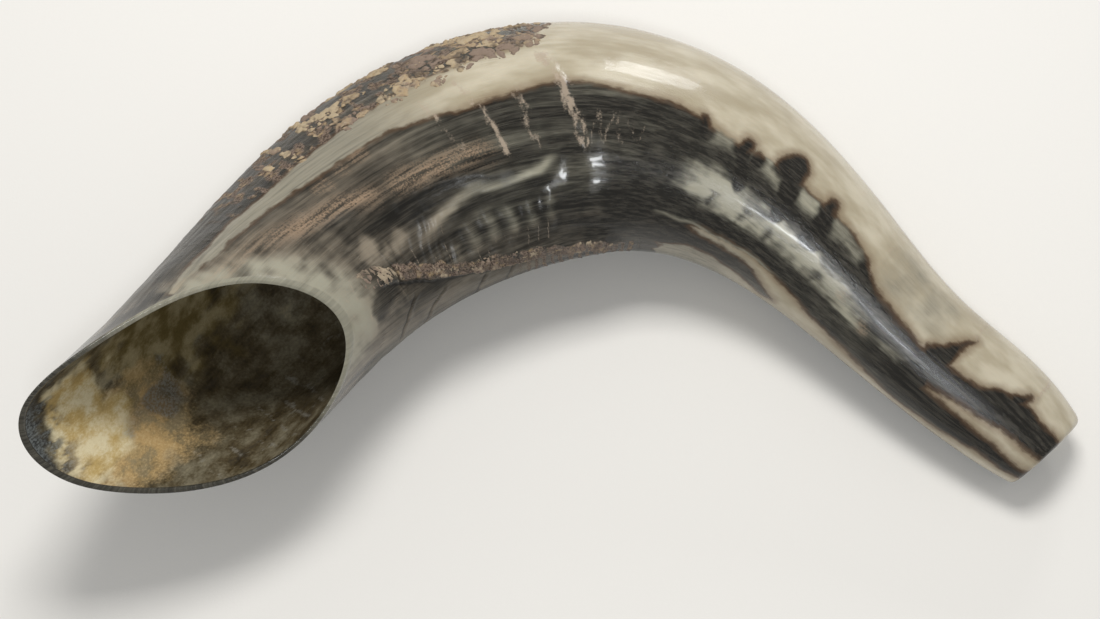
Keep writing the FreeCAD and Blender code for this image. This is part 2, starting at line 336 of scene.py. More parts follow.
class Chart:
    """The horn's surfaces, read by share and angle."""

    def __init__(self, sizes):
        self.length = sizes.horn_length / MM
        self.bore = sizes.bore_radius / MM
        self.cup = sizes.cup_radius / MM
        self.cup_depth = sizes.cup_depth / MM
        self.turn = rest_turn()
        self.start = mount_place("mouthpiece_cup")
        self.columns = sizes.columns
        self.angles = SEAM + 360.0 * np.arange(self.columns) / self.columns
        self.shares = np.array([ring[0] for ring in RINGS])
        self.axes = [ring_axes(ring[1], ring[2]) for ring in RINGS]
        centre = np.zeros(3)
        centres = [centre]
        for (low, *_), (high, *_), one, two in zip(RINGS, RINGS[1:], self.axes, self.axes[1:]):
            mean = one[2] + two[2]
            centre = centre + mean / np.linalg.norm(mean) * self.length * (high - low)
            centres.append(centre)
        self.centres = np.array(centres)
        self.outer_rings = self.rings(0)
        self.inner_rings = self.rings(1)
        self.cut_normal = self.turn @ direction(CUT_HEADING, CUT_LIFT)
        bell_centre = self.centres[list(self.shares).index(BELL)]
        self.cut_point = self.place(bell_centre) + self.cut_normal * CUT_ADVANCE
        self.girth = spline_at(self.shares, [sum(ring[3:7]) / 4 for ring in RINGS],
                               np.linspace(0, 1, 201))

    def place(self, points):
        """From the horn's own axes to the frame's."""
        return points @ self.turn.T + self.start

    def rings(self, hollow):
        """Points of each ring at the chart's angles, in the frame."""
        rows = []
        for ring, axes, centre in zip(RINGS, self.axes, self.centres):
            keel, back, face, belly = (half - hollow * ring[7] for half in ring[3:7])
            flat = section(keel, back, face, belly, self.angles)
            rows.append(self.place(centre + flat[:, :1] * axes[0] + flat[:, 1:] * axes[1]))
        return np.array(rows)

    def outside(self, share):
        """Outer surface at a grid of shares with one column for each angle."""
        return spline_columns(self.shares, self.outer_rings, share)

    def inside(self, share):
        """Inner surface of the hollow, from the waist to the bell."""
        return spline_columns(self.shares[HOLLOW_FIRST:], self.inner_rings[HOLLOW_FIRST:], share)

    def bore_rows(self, shares):
        """The cup and the drilled bore, from the end face to the waist."""
        last = self.centres[HOLLOW_FIRST]
        along = last / np.linalg.norm(last)
        heading = spline_at(self.shares, [ring[1] for ring in RINGS], shares)
        rise = spline_at(self.shares, [ring[2] for ring in RINGS], shares)
        middle = spline_at(self.shares, self.centres, shares)
        turn = np.radians(self.angles)
        rows = []
        for centre, one_heading, one_rise in zip(middle, heading, rise):
            back, face, forward = ring_axes(one_heading, one_rise)
            depth = (centre @ forward) / (along @ forward)
            radius = self.bore + (self.cup - self.bore) * np.clip(1 - depth / self.cup_depth, 0, 1)
            flat = radius * (np.cos(turn)[:, None] * back + np.sin(turn)[:, None] * face)
            rows.append(self.place(along * depth + flat))
        return np.array(rows)

    def cut_shares(self, surface, depth):
        """For each column, the share where a surface meets the plane so far below the cut."""
        low = np.full(self.columns, 0.70)
        high = np.full(self.columns, 1.08)
        for _ in range(40):
            middle = (low + high) / 2
            height = (surface(middle[None])[0] - self.cut_point) @ self.cut_normal
            above = height > -depth
            high = np.where(above, middle, high)
            low = np.where(above, low, middle)
        return (low + high) / 2

    def per_degree(self, share):
        """Millimetres round the horn for one degree."""
        return np.interp(share, np.linspace(0, 1, 201), self.girth) * math.pi / 180

    def grain(self, share, depth=0.0):
        """Coordinates of a straightened horn in millimetres, for grain that runs along it."""
        radius = self.per_degree(share) * 180 / math.pi - depth
        turn = np.radians(self.angles)
        return np.stack((radius * np.cos(turn), radius * np.sin(turn), share * self.length), axis=-1)


# ---------------------------------------------------------------- pigment and relief
# Lines are (share, angle) points; borders run along the horn.

CREAM_EDGE = ((0, 99), (.025, 98), (.036, 104), (.050, 96), (.065, 89), (.077, 78), (.095, 76),
              (.14, 74), (.175, 79), (.197, 83), (.205, 93), (.225, 98), (.25, 100), (.30, 99),
              (.325, 96), (.362, 94), (.38, 97), (.40, 99), (.437, 98), (.482, 102), (.50, 100),
              (.53, 98), (.565, 97), (.588, 100), (.635, 104), (.70, 103), (.78, 103), (.85, 105))
CREAM_TOP = ((0, 255), (.20, 250), (.38, 244), (.44, 236), (.474, 205), (.490, 150), (.50, 134),
             (.55, 127), (.60, 123), (.66, 119), (.72, 115), (.80, 112), (.86, 109))
LOW_CREAM = ((0, 20), (.05, 18), (.11, 7), (.15, 12), (.175, 17), (.21, 24), (.237, 31), (.26, 36),
             (.30, 37), (.38, 36))
TONGUE_LOW = ((.238, 7), (.25, 5), (.27, 10), (.30, 16), (.375, 20))
TONGUE_TOP = ((.238, 9), (.25, 17), (.27, 28), (.30, 32), (.375, 33))
STRIP_LOW = ((0, 39), (.03, 40), (.07, 43), (.108, 46))
STRIP_TOP = ((0, 62), (.03, 60), (.07, 53), (.108, 46.5))
BAND_LOW = ((.13, 46), (.175, 43), (.20, 49), (.225, 52), (.25, 54), (.39, 55))
BAND_TOP = ((.13, 46), (.175, 52), (.20, 59), (.225, 65), (.25, 69), (.30, 69), (.36, 71), (.39, 68))
# Dark blobs in the cream and their necks: from, to, and the radius in millimetres at each.
BLOBS = (
    ((.118, 72), (.110, 95), 4.8, 1.7), ((.110, 95), (.101, 119), 1.7, 0.05),
    ((.046, 92), (.041, 113), 2.6, 0.8),
    ((.302, 101), (.300, 105), 4.4, 4.6), ((.297, 100), (.285, 72), 3.4, 3.0),
    ((.260, 98), (.260, 103), 2.4, 1.9), ((.258, 98), (.252, 74), 2.0, 3.4),
    ((.325, 88), (.325, 93), 2.0, 1.8),
    ((.338, 92), (.337, 97), 2.6, 2.4), ((.337, 94), (.328, 72), 2.2, 2.4),
    ((.372, 90), (.376, 97), 2.4, 1.6),
)
NOTCHES = (((.283, 52), (.281, 60), 2.2, 1.0), ((.312, 52), (.309, 61), 2.0, 0.9),
           ((.342, 52), (.340, 60), 2.2, 1.0), ((.232, 50), (.230, 57), 1.5, 0.6))
# How milky the dark horn is, from 0 (black) to 1: a row for each angle, a column for each share.
WASH_SHARES = (0, .06, .12, .18, .24, .32, .38, .44, .50, .55, .60, .66, .72, .78, .84, 1.0)
WASH = (
    (-90, (.10, .10, .10, .15, .20, .20, .20, .15, .20, .25, .25, .30, .30, .25, .26, .36)),
    (-30, (.25, .25, .20, .20, .25, .25, .20, .10, .20, .30, .35, .40, .40, .31, .31, .39)),
    (0, (.30, .30, .30, .30, .30, .30, .15, .04, .15, .34, .40, .42, .45, .34, .34, .42)),
    (12, (.30, .30, .20, .22, .25, .30, .15, .06, .12, .28, .38, .42, .45, .37, .42, .48)),
    (24, (.03, .03, .05, .18, .10, .08, .08, .08, .14, .22, .25, .28, .30, .43, .49, .57)),
    (36, (.02, .02, .03, .20, .14, .10, .10, .10, .20, .30, .30, .24, .22, .43, .52, .57)),
    (46, (.02, .02, .05, .18, .10, .06, .07, .14, .25, .25, .22, .22, .28, .53, .52, .57)),
    (58, (.06, .04, .05, .15, .20, .20, .12, .12, .20, .24, .20, .28, .34, .37, .47, .54)),
    (68, (.05, .03, .04, .12, .16, .14, .12, .14, .12, .14, .20, .24, .28, .26, .39, .51)),
    (80, (.05, .02, .03, .08, .10, .10, .12, .13, .14, .22, .30, .26, .26, .22, .34, .51)),
    (92, (.04, .02, .03, .06, .12, .12, .12, .10, .13, .22, .32, .32, .28, .21, .31, .51)),
    (102, (.10, .10, .10, .10, .10, .10, .10, .10, .12, .18, .24, .26, .26, .21, .29, .48)),
    (120, (.30, .30, .30, .30, .30, .30, .30, .30, .25, .22, .22, .20, .18, .15, .26, .48)),
    (150, (.30, .30, .30, .30, .30, .30, .30, .28, .18, .16, .16, .14, .14, .12, .22, .45)),
    (200, (.30, .30, .30, .30, .30, .30, .30, .25, .20, .22, .22, .20, .22, .19, .29, .51)),
    (270, (.10, .10, .10, .15, .20, .20, .20, .15, .20, .25, .25, .30, .30, .25, .26, .36)),
)
# Yearly rings across the horn: (share, angle) points, ridge height and half width in millimetres.
GROWTH_RINGS = (
    (((.493, 128), (.487, 112), (.479, 90), (.468, 66)), 0.42, 1.0),
    (((.517, 101), (.513, 85), (.508, 69)), 0.20, 0.7),
    (((.553, 120), (.545, 94), (.536, 69)), 0.24, 0.7),
    (((.585, 112), (.578, 90), (.572, 76)), 0.14, 0.8),
    (((.037, 165), (.037, 110)), 0.14, 0.5),
    (((.104, 160), (.104, 115)), 0.14, 0.5),
    (((.202, 130), (.200, 85)), 0.12, 0.5),
    (((.430, 87), (.425, 72)), 0.10, 0.6), (((.443, 86), (.438, 70)), 0.10, 0.6),
    (((.457, 86), (.452, 70)), 0.10, 0.6),
)
# Lines of the folded side: the crease, the raised fold, the rough inner ridge, the tan band.
CREASE = ((.515, 58), (.525, 59), (.58, 64), (.635, 69), (.69, 71), (.74, 74), (.80, 87))
FOLD = ((.485, 68), (.499, 63), (.525, 57), (.55, 56), (.576, 58.5), (.602, 56.5), (.626, 53),
        (.660, 49))
RIDGE = ((.40, 4), (.459, 9), (.506, 12), (.565, 17), (.605, 20), (.647, 29), (.694, 40), (.741, 51),
         (.790, 69))
TAN_BAND = ((.53, 72), (.60, 75), (.66, 78), (.70, 83), (.734, 87), (.80, 93), (.86, 98))
ARC_LINES = (
    ((.652, 17), (.668, 12), (.680, 5), (.688, -4)),
    ((.690, 24), (.707, 17), (.716, 8), (.722, -3)),
    ((.600, 12), (.612, 4), (.618, -8)),
    ((.565, 8), (.574, 0), (.578, -10)),
)
PALE_SPOTS = (((.668, 58), (.681, 54), 2.0, 1.4), ((.704, 61), (.714, 55), 2.4, 1.6),
              ((.744, 36), (.762, 25), 3.6, 3.0), ((.690, 55), (.697, 52), 1.2, 0.8))
ROSY_SPOTS = (((.650, 100), (.658, 100), 2.4, 2.0), ((.672, 98), (.676, 98), 2.0, 1.6),
              ((.693, 96), (.700, 96), 2.6, 1.6), ((.173, 49), (.177, 51), 1.6, 1.0),
              ((.203, 57), (.207, 60), 1.4, 0.9))
DARK_SPOTS = (((.716, 38), (.738, 31), 4.6, 3.6), ((.405, 40), (.440, 40), 5.0, 5.0))


class Field:
    """Grid coordinates with a slow warp, so that drawn lines wander as grown ones do."""

    def __init__(self, chart, share, grain):
        self.chart = chart
        self.grain = grain
        self.per_degree = chart.per_degree(share)
        wander = 0.9 * noise(grain / 9, 11, 3)
        drift = 0.8 * noise(grain / 8, 31, 3)
        self.share = share + wander / chart.length
        self.angle = np.broadcast_to(chart.angles, share.shape) + drift / self.per_degree

    def line(self, points):
        """The angle of a line along the horn, at every share."""
        shares = np.linspace(-0.02, 1.02, 1041)
        angles = np.interp(shares, *zip(*points))
        angles = np.convolve(np.pad(angles, 6, mode="edge"), np.full(13, 1 / 13), mode="valid")
        return np.interp(self.share, shares, angles)

    def above(self, points, angle=None):
        """Millimetres above a line along the horn, towards the keel."""
        angle = self.angle if angle is None else angle
        return (angle - self.line(points)) * self.per_degree

    def within(self, points, soft=0.012):
        """1 along a line's own shares, fading at its ends."""
        first, last = points[0][0], points[-1][0]
        return ramp(self.share, first, first + soft) * ramp(self.share, last, last - soft)

    def past(self, share):
        """Millimetres beyond a share, towards the bell."""
        return (self.share - share) * self.chart.length

    def across(self, points):
        """Millimetres along the horn from a line across it, and 1 beside the line."""
        ordered = sorted((angle, share) for share, angle in points)
        angles = [angle for angle, _ in ordered]
        found = np.interp(self.angle, angles, [share for _, share in ordered])
        away = (self.share - found) * self.chart.length
        beside = ramp(self.angle, angles[0] - 4, angles[0] + 3) * ramp(
            self.angle, angles[-1] + 4, angles[-1] - 3)
        return away, beside

    def blob(self, start, end, wide, narrow):
        """Millimetres inside a rounded stroke that tapers from one radius to another."""
        scale = float(self.chart.per_degree((start[0] + end[0]) / 2))
        x = (self.share - start[0]) * self.chart.length
        y = (self.angle - start[1]) * scale
        run = np.array(((end[0] - start[0]) * self.chart.length, (end[1] - start[1]) * scale))
        part = np.clip((x * run[0] + y * run[1]) / (run @ run), 0, 1)
        return wide + part * (narrow - wide) - np.hypot(x - part * run[0], y - part * run[1])

    def any_blob(self, strokes):
        return np.max([self.blob(*stroke) for stroke in strokes], axis=0)

    def wash(self):
        """The wash of milkiness from the listed table."""
        rows = np.array([np.interp(self.share.ravel(), WASH_SHARES, row)
                         for _, row in WASH]).reshape((len(WASH),) + self.share.shape)
        marks = np.array([angle for angle, _ in WASH], float)
        angle = np.clip(self.angle, marks[0], marks[-1])
        span = np.clip(np.searchsorted(marks, angle) - 1, 0, len(marks) - 2)
        part = (angle - marks[span]) / (marks[span + 1] - marks[span])
        part = part * part * (3 - 2 * part)
        low = np.take_along_axis(rows, span[None], 0)[0]
        high = np.take_along_axis(rows, span[None] + 1, 0)[0]
        return low + part * (high - low)


def paint_outside(field, to_rim):
    """Pigment of the outer surface, with painted shade in the creases, grooves, dents and under the ridge
    and a painted highlight on the fold: masks from 0 to 1, and the cream's depth in millimetres.
    """
    angle, share = field.angle, field.share
    long_fibre = noise(field.grain / (1.6, 1.6, 34), 51, 3)
    broad_fibre = noise(field.grain / (4.5, 4.5, 60), 61, 2)
    mottle = noise(field.grain / 5, 71, 3)

    blobs = field.any_blob(BLOBS)
    keel = np.minimum(field.above(CREAM_EDGE, np.where(angle > 180, 354 - angle, angle)),
                      -field.above(CREAM_TOP))
    keel = np.minimum(keel, -field.past(0.86))
    tongue = np.minimum(field.above(TONGUE_LOW), -field.above(TONGUE_TOP))
    tongue = np.minimum(tongue, field.past(.240))
    low = np.minimum(-field.above(LOW_CREAM, np.abs(angle)), -field.past(.385))
    low = np.minimum(low, -tongue) + (2.0 * long_fibre - 6.0) * ramp(share, .33, .385)
    strip = np.minimum(np.minimum(field.above(STRIP_LOW), -field.above(STRIP_TOP)), -field.past(.107))
    cream = np.maximum(np.minimum(keel, -blobs), np.maximum(low, strip))

    milk = field.wash()
    windows = np.minimum(np.minimum((angle - 85.5), (98.5 - angle)) * field.per_degree,
                         np.minimum(field.past(.214), -field.past(.372)))
    windows = np.minimum(windows, -blobs)
    lined = 0.62 + 0.24 * long_fibre + 0.20 * broad_fibre + 0.10 * mottle
    lined = lined - 0.28 * hump(field.past(.234), 9)
    milk = milk + ramp(windows + 0.8 * mottle, -1.6, 2.2) * lined * (1 - milk)
    band = np.minimum(np.minimum(field.above(BAND_LOW), -field.above(BAND_TOP)),
                      np.minimum(field.past(.140), -field.past(.383)))
    band = np.minimum(band, -field.any_blob(NOTCHES))
    band_tone = ramp(share, .13, .30) * 0.45 + 0.55
    band_soft = ramp(band + 1.5 * long_fibre + 0.9 * mottle, -2.6, 2.8) * ramp(share, .395, .35)
    milk = milk + band_soft * (band_tone - 0.08 + 0.26 * long_fibre + 0.26 * mottle) * (1.1 - milk)
    thin_strip = hump((angle - 37) * field.per_degree, 0.7)
    thin_strip = thin_strip * ramp(share, .24, .27) * ramp(share, .43, .36)
    milk = milk + 0.5 * thin_strip
    fan = hump((angle - 33) * field.per_degree, 6.5) * ramp(share, .12, .15) * ramp(share, .26, .20)
    milk = milk + fan * np.maximum(0, 0.35 * long_fibre + 0.2 * broad_fibre)
    streaky = ramp(share, .37, .44)
    milk = milk + streaky * (0.14 * long_fibre + 0.13 * broad_fibre + 0.08 * mottle)
    # The pale band along the raised fold's crest: partly pale horn, partly a painted highlight.
    fold = hump(field.above(FOLD), 1.5) * field.within(FOLD, .03)
    milk = milk + 0.62 * fold * (1 + 0.5 * long_fibre)
    ripples = np.sin((share - .50) * math.tau / .0235 + 0.5 * mottle)
    bulges = ramp(angle, 29, 34) * ramp(angle, 48, 43) * ramp(share, .49, .505) * ramp(
        share, .635, .615)
    milk = milk + 0.16 * bulges * ripples
    pale = field.any_blob(PALE_SPOTS)
    milk = milk + 0.50 * ramp(pale + 0.8 * mottle, -2.4, 1.8)
    rim_band = ramp(to_rim, 17, 6)
    milk = milk + rim_band * (0.25 - 0.55 * ramp(np.abs(angle - 215), 125, 90) * ramp(to_rim, 7, 3))
    milk = milk + rim_band * 0.15 * (broad_fibre + mottle)
    pale_margin = ramp(to_rim, 8, 3) * ramp(np.abs(angle - PALE_SIDE), 66, 36) * (0.85 + 0.3 * mottle)
    milk = milk + 0.5 * pale_margin
    dark = field.any_blob(DARK_SPOTS)
    milk = milk * (1 - 0.75 * ramp(dark, -2.5, 1.5))
    milk = milk * (1 - 0.9 * ramp(blobs, -0.5, 1.0))

    ring_tone = np.zeros(share.shape)
    for points, height, wide in GROWTH_RINGS:
        away, beside = field.across(points)
        ring_tone = np.maximum(ring_tone, min(1.0, 0.25 + 2.6 * height) * beside
                               * hump(away + 0.8 * mottle, 2.3 * wide)
                               * (0.62 + 0.65 * noise(field.grain / (2.2, 2.2, 1.0), 81, 3)))
    scratches = np.zeros(share.shape)
    for start, end, low_angle, high_angle, pace, seed in (
            (.615, .70, 29, 52, .0105, 1), (.412, .47, 68, 84, .0135, 2), (.50, .62, 22, 34, .0125, 3),
            (.74, .79, 28, 62, .0110, 5)):
        comb = np.sin((share + .0009 * (angle - low_angle) / 2) * math.tau / pace
                      + 2.2 * noise(field.grain / 14, 90 + seed, 2))
        window = ramp(share, start, start + .01) * ramp(share, end, end - .01) * ramp(
            angle, low_angle - 3, low_angle + 3) * ramp(angle, high_angle + 3, high_angle - 3)
        scratches = np.maximum(scratches, window * ramp(comb, 0.78, 1.0)
                               * ramp(noise(field.grain / 3.5, 95 + seed, 2), -0.25, 0.35))

    tan_line = field.above(TAN_BAND)
    tan = hump(tan_line, 3.0) * field.within(TAN_BAND, .04) * ramp(long_fibre, -0.9, 0.25)
    tan = tan * (1 - 0.75 * hump(field.past(.655), 4)) * (1 - 0.6 * ramp(share, .735, .80))
    rosy = ramp(field.any_blob(ROSY_SPOTS), -1.5, 1.2)
    tan = np.maximum(tan, 0.55 * rosy)
    ridge_above = field.above(RIDGE)
    ridge_half = 2.7 + 1.2 * mottle
    ridge = ramp(np.abs(ridge_above - 0.5), ridge_half + 1.0, ridge_half - 1.0)
    ridge = ridge * field.within(RIDGE, .035)
    ribbed = np.sin(share * math.tau / .0118 + 1.9 * noise(field.grain / 9, 101, 2))
    crust = 0.95 * ridge * (0.66 + 0.34 * noise(field.grain / 2.2, 103, 3))
    inner_crust = ramp(angle, 13, 8) * ramp(angle, -75, -35) * ramp(share, .385, .405) * ramp(
        share, .60, .50)
    crust = np.maximum(crust, inner_crust * ramp(ribbed + 0.7 * mottle, -0.3, 0.7) * 0.8)
    keel_ground = ramp(-field.above(CREAM_TOP), 1.5, -2.0) * ramp(share, .478, .50) * ramp(
        share, .90, .80) * ramp(angle, 262, 225) * ramp(angle, 100, 112)
    patches = ramp(noise(field.grain / (4.2, 4.2, 3.0), 107, 3) + 0.25 * ribbed, -0.15, 0.5)
    fading = 1 - 0.75 * ramp(share, .70, .80)
    crust = np.maximum(crust, keel_ground * (0.22 + 0.55 * patches) * fading)
    under_patch = ramp(noise(field.grain / (7, 7, 16), 109, 3), 0.30, 0.75) * ramp(
        angle, -8, -22) * ramp(share, .42, .50) * ramp(share, .84, .74)
    crust = np.maximum(crust, 0.6 * under_patch)
    crust = crust * (1 - ramp(to_rim, 15, 9))

    # This mask holds dark lines and cracks of the horn, and painted shade in the crease and its valley, in
    # the groove below the fold, under the ridge and in the dents before the growth rings.
    ink_and_shade = np.zeros(share.shape)
    crease_away = field.above(CREASE)
    in_crease = field.within(CREASE, .02)
    # Painted shade: a dark line along the crease.
    ink_and_shade = np.maximum(ink_and_shade, 0.6 * hump(crease_away + 0.3, 0.8) * in_crease * ramp(share, .74, .66))
    # Painted shade: a dark line in the groove below the raised fold.
    ink_and_shade = np.maximum(ink_and_shade, 0.45 * hump(field.above(FOLD) + 4.5, 1.8) * field.within(FOLD, .03))
    # Painted shade: a dark band in the low valley below the crease.
    ink_and_shade = np.maximum(ink_and_shade, 0.5 * ramp(crease_away, -9, -3) * ramp(crease_away, 1, -1)
                     * ramp(share, .515, .54) * ramp(share, .66, .61) * ramp(long_fibre, -0.9, 0.4))
    # Painted shadow: a dark line under the rough ridge, where it overhangs the horn.
    painted_ridge_shadow = hump(ridge_above + 3.6 + 0.6 * mottle, 0.9) * field.within(RIDGE, .03)
    ink_and_shade = np.maximum(ink_and_shade, 0.9 * painted_ridge_shadow * ramp(share, .735, .70))
    for points in ARC_LINES:
        away, beside = field.across(points)
        ink_and_shade = np.maximum(ink_and_shade, beside * (0.62 * hump(away, 0.6) + 0.2 * hump(away - 1.5, 1.6)))
    cracks = ramp(ribbed, 0.86, 1.0) * np.maximum(ridge, np.maximum(keel_ground, inner_crust))
    ink_and_shade = np.maximum(ink_and_shade, 0.5 * cracks * ramp(share, .68, .58))
    # Painted shade: a dark line in the dent before each of the first four growth rings.
    for points, height, wide in GROWTH_RINGS[:4]:
        away, beside = field.across(points)
        ink_and_shade = np.maximum(ink_and_shade, 0.3 * height * beside * hump(away + 2.1 * wide, wide))
    cloudy = ramp(share, .115, .14) * ramp(share, .21, .18) * ramp(angle, 80, 92) * ramp(
        angle, 150, 128) * (0.50 + 0.3 * mottle)
    low_ash = ramp(share, .25, .31) * ramp(angle, 40, 30) * ramp(angle, -60, -40) * 0.9
    ash = np.maximum(np.maximum(ramp(share, .535, .66), cloudy), low_ash)
    ash = ash * (1 - np.clip(pale_margin, 0, 1))
    return {
        "cream": cream, "milk": np.clip(milk, 0, 1.15), "tan": np.clip(tan, 0, 1),
        "light": np.clip(np.maximum(ring_tone, 0.5 * scratches), 0, 1),
        "crust": np.clip(crust, 0, 1), "ink_and_shade": np.clip(ink_and_shade, 0, 1), "ash": np.clip(ash, 0, 1),
        "satin": ramp(share, .485, .56) * ramp(to_rim, 4, 12),
    }


def shape_relief(field, paint, to_rim):
    """Height of the outer surface over the plain horn, in millimetres."""
    angle, share, grain = field.angle, field.share, field.grain
    rough_part = ramp(share, .36, .50)
    height = (0.10 + 0.26 * rough_part) * noise(grain / (13, 13, 26), 201, 2)
    height += (0.012 + 0.055 * rough_part) * noise(grain / (1.7, 1.7, 40), 205, 2)
    height += 0.06 * rough_part * noise(grain / (7, 7, 4.5), 207, 2)
    for points, high, wide in GROWTH_RINGS:
        away, beside = field.across(points)
        height += 0.5 * beside * high * (hump(away, wide) - 0.45 * hump(away + 2.4 * wide, 1.5 * wide))
    dent_away, _ = field.across(((.462, 40), (.466, 66), (.474, 96)))
    height -= 0.75 * hump(dent_away - 1.5, 4.5) * ramp(angle, 36, 50) * ramp(angle, 82, 66)
    height += 0.55 * hump(field.past(.484), 5.0) * ramp(angle, 40, 52) * ramp(angle, 76, 64)
    crease_away = field.above(CREASE)
    step = ramp(crease_away, -2.6, 0.8) - 0.75 * ramp(crease_away, 0.8, 10)
    height += 0.95 * step * field.within(CREASE, .04)
    fold_away = field.above(FOLD)
    height += 1.25 * hump(fold_away, 3.0) * field.within(FOLD, .035)
    height -= 0.55 * hump(fold_away + 6.5, 3.4) * field.within(FOLD, .04)
    ripples = np.sin((share - .50) * math.tau / .0235 + 0.5 * noise(grain / 5, 71, 3))
    bulges = ramp(angle, 24, 34) * ramp(angle, 54, 44) * ramp(share, .485, .505) * ramp(
        share, .645, .615)
    height += 0.34 * bulges * ripples
    fine_ribs = np.sin((share + .0009 * angle) * math.tau / .0105 + 2.0 * noise(grain / 14, 91, 2))
    height += 0.16 * fine_ribs * ramp(share, .605, .63) * ramp(share, .74, .70) * ramp(
        angle, 22, 32) * ramp(angle, 60, 50)
    ridge_above = field.above(RIDGE)
    swell = ramp(ridge_above, -3.4, -1.4) * ramp(ridge_above, 9.0, 1.5)
    height += 1.55 * swell * field.within(RIDGE, .05)
    height -= 0.5 * hump(ridge_above + 5.0, 2.4) * field.within(RIDGE, .04)
    crumbs = noise(grain / (1.5, 1.5, 1.1), 211, 3)
    height += paint["crust"] * (0.30 * crumbs + 0.16 * noise(grain / 4, 213, 2))
    height += 0.10 * paint["light"] + 0.05 * paint["tan"] * crumbs
    height -= 0.30 * paint["ink_and_shade"] * ramp(share, .42, .50)
    for points in ARC_LINES:
        away, beside = field.across(points)
        height += 0.22 * beside * hump(away + 1.6, 1.3)
    for arc_share in (.126, .137, .147, .158, .170):
        arc = (share - arc_share - .00009 * np.square(angle - 144) / 10) * field.chart.length
        height += 0.035 * hump(arc, 0.9) * ramp(angle, 126, 136) * ramp(angle, 160, 152)
    calm = ramp(to_rim, 5, 16)
    height = height * (0.12 + 0.88 * calm)
    height -= 0.75 * np.square(ramp(to_rim, 15, 0))
    return np.clip(height, -1.7, 2.0)


def paint_inside(field):
    """Pigment of the hollow's wall."""
    angle = np.where(field.angle < 0, field.angle + 360, field.angle)
    share = field.share
    mottle = noise(field.grain / 6, 301, 4)
    long_fibre = noise(field.grain / (1.3, 1.3, 22), 303, 3)

    def patch(middle_share, middle_angle, half_share, half_angle):
        away = np.hypot((share - middle_share) / half_share, (angle - middle_angle) / half_angle)
        return ramp(away + 0.35 * mottle, 1.15, 0.55)

    cream = patch(.925, 216, .040, 42)
    gold = patch(.895, 246, .066, 42)
    olive = patch(.81, 200, .090, 60)
    dark_side = ramp(angle, 262, 300) * ramp(angle, 372, 345)
    slate_spots = ramp(noise(field.grain / 12, 305, 3), -0.1, 0.7) * patch(.885, 232, .07, 50)
    milk = 0.18 + 0.65 * olive + 0.12 * long_fibre + 0.12 * mottle
    milk = milk * (1 - 0.8 * dark_side)
    comb = np.sin((share - .0005 * angle) * math.tau / .021 + 1.3 * noise(field.grain / 14, 307, 2))
    bars = ramp(comb, 0.55, 1.0) * dark_side * ramp(share, .70, .76) * ramp(
        noise(field.grain / (5, 5, 2), 309, 3), -0.5, 0.5)
    specks = ramp(noise(field.grain / 1.1, 311, 2), 0.35, 0.8) * dark_side
    lip_spots = ramp(noise(field.grain / 2.6, 313, 3), -0.1, 0.5) * ramp(share, .925, .955)
    edge_dark = ramp(share, .945, .97) * ramp(angle, 130, 165) * ramp(angle, 250, 215)
    edge_dark = np.maximum(edge_dark, 0.8 * lip_spots * ramp(angle, 120, 150))
    return {
        "cream": 6 * cream - 3 - 6 * edge_dark, "milk": np.clip(milk, 0, 1),
        "tan": np.clip(gold * (0.9 + 0.4 * mottle), 0, 1),
        "light": np.clip(0.55 * bars + 0.40 * specks + 0.12 * dark_side * (1 + mottle), 0, 1),
        "crust": np.clip(0.25 + 0.2 * mottle, 0, 1),
        "ink_and_shade": np.clip(0.62 * slate_spots + 0.7 * edge_dark, 0, 1),
        "ash": np.clip(olive, 0, 1), "satin": np.ones(share.shape),
    }


# ---------------------------------------------------------------- the global grids


def corner(start, middle, end, count):
    """Rows of a rounded corner between two rows, bulging to a third."""
    rows = []
    for part in np.linspace(0, 1, count + 1)[:-1]:
        rows.append((1 - part) ** 2 * start + 2 * part * (1 - part) * middle + part ** 2 * end)
    return rows


# The polished lip is dark grey, and paler on the side that faces PALE_SIDE.
RIM_PAINT = {"cream": -6.0, "milk": 0.22, "tan": 0.0, "light": 0.10, "crust": 0.0, "ink_and_shade": 0.0,
             "ash": 0.0, "satin": 0.0}


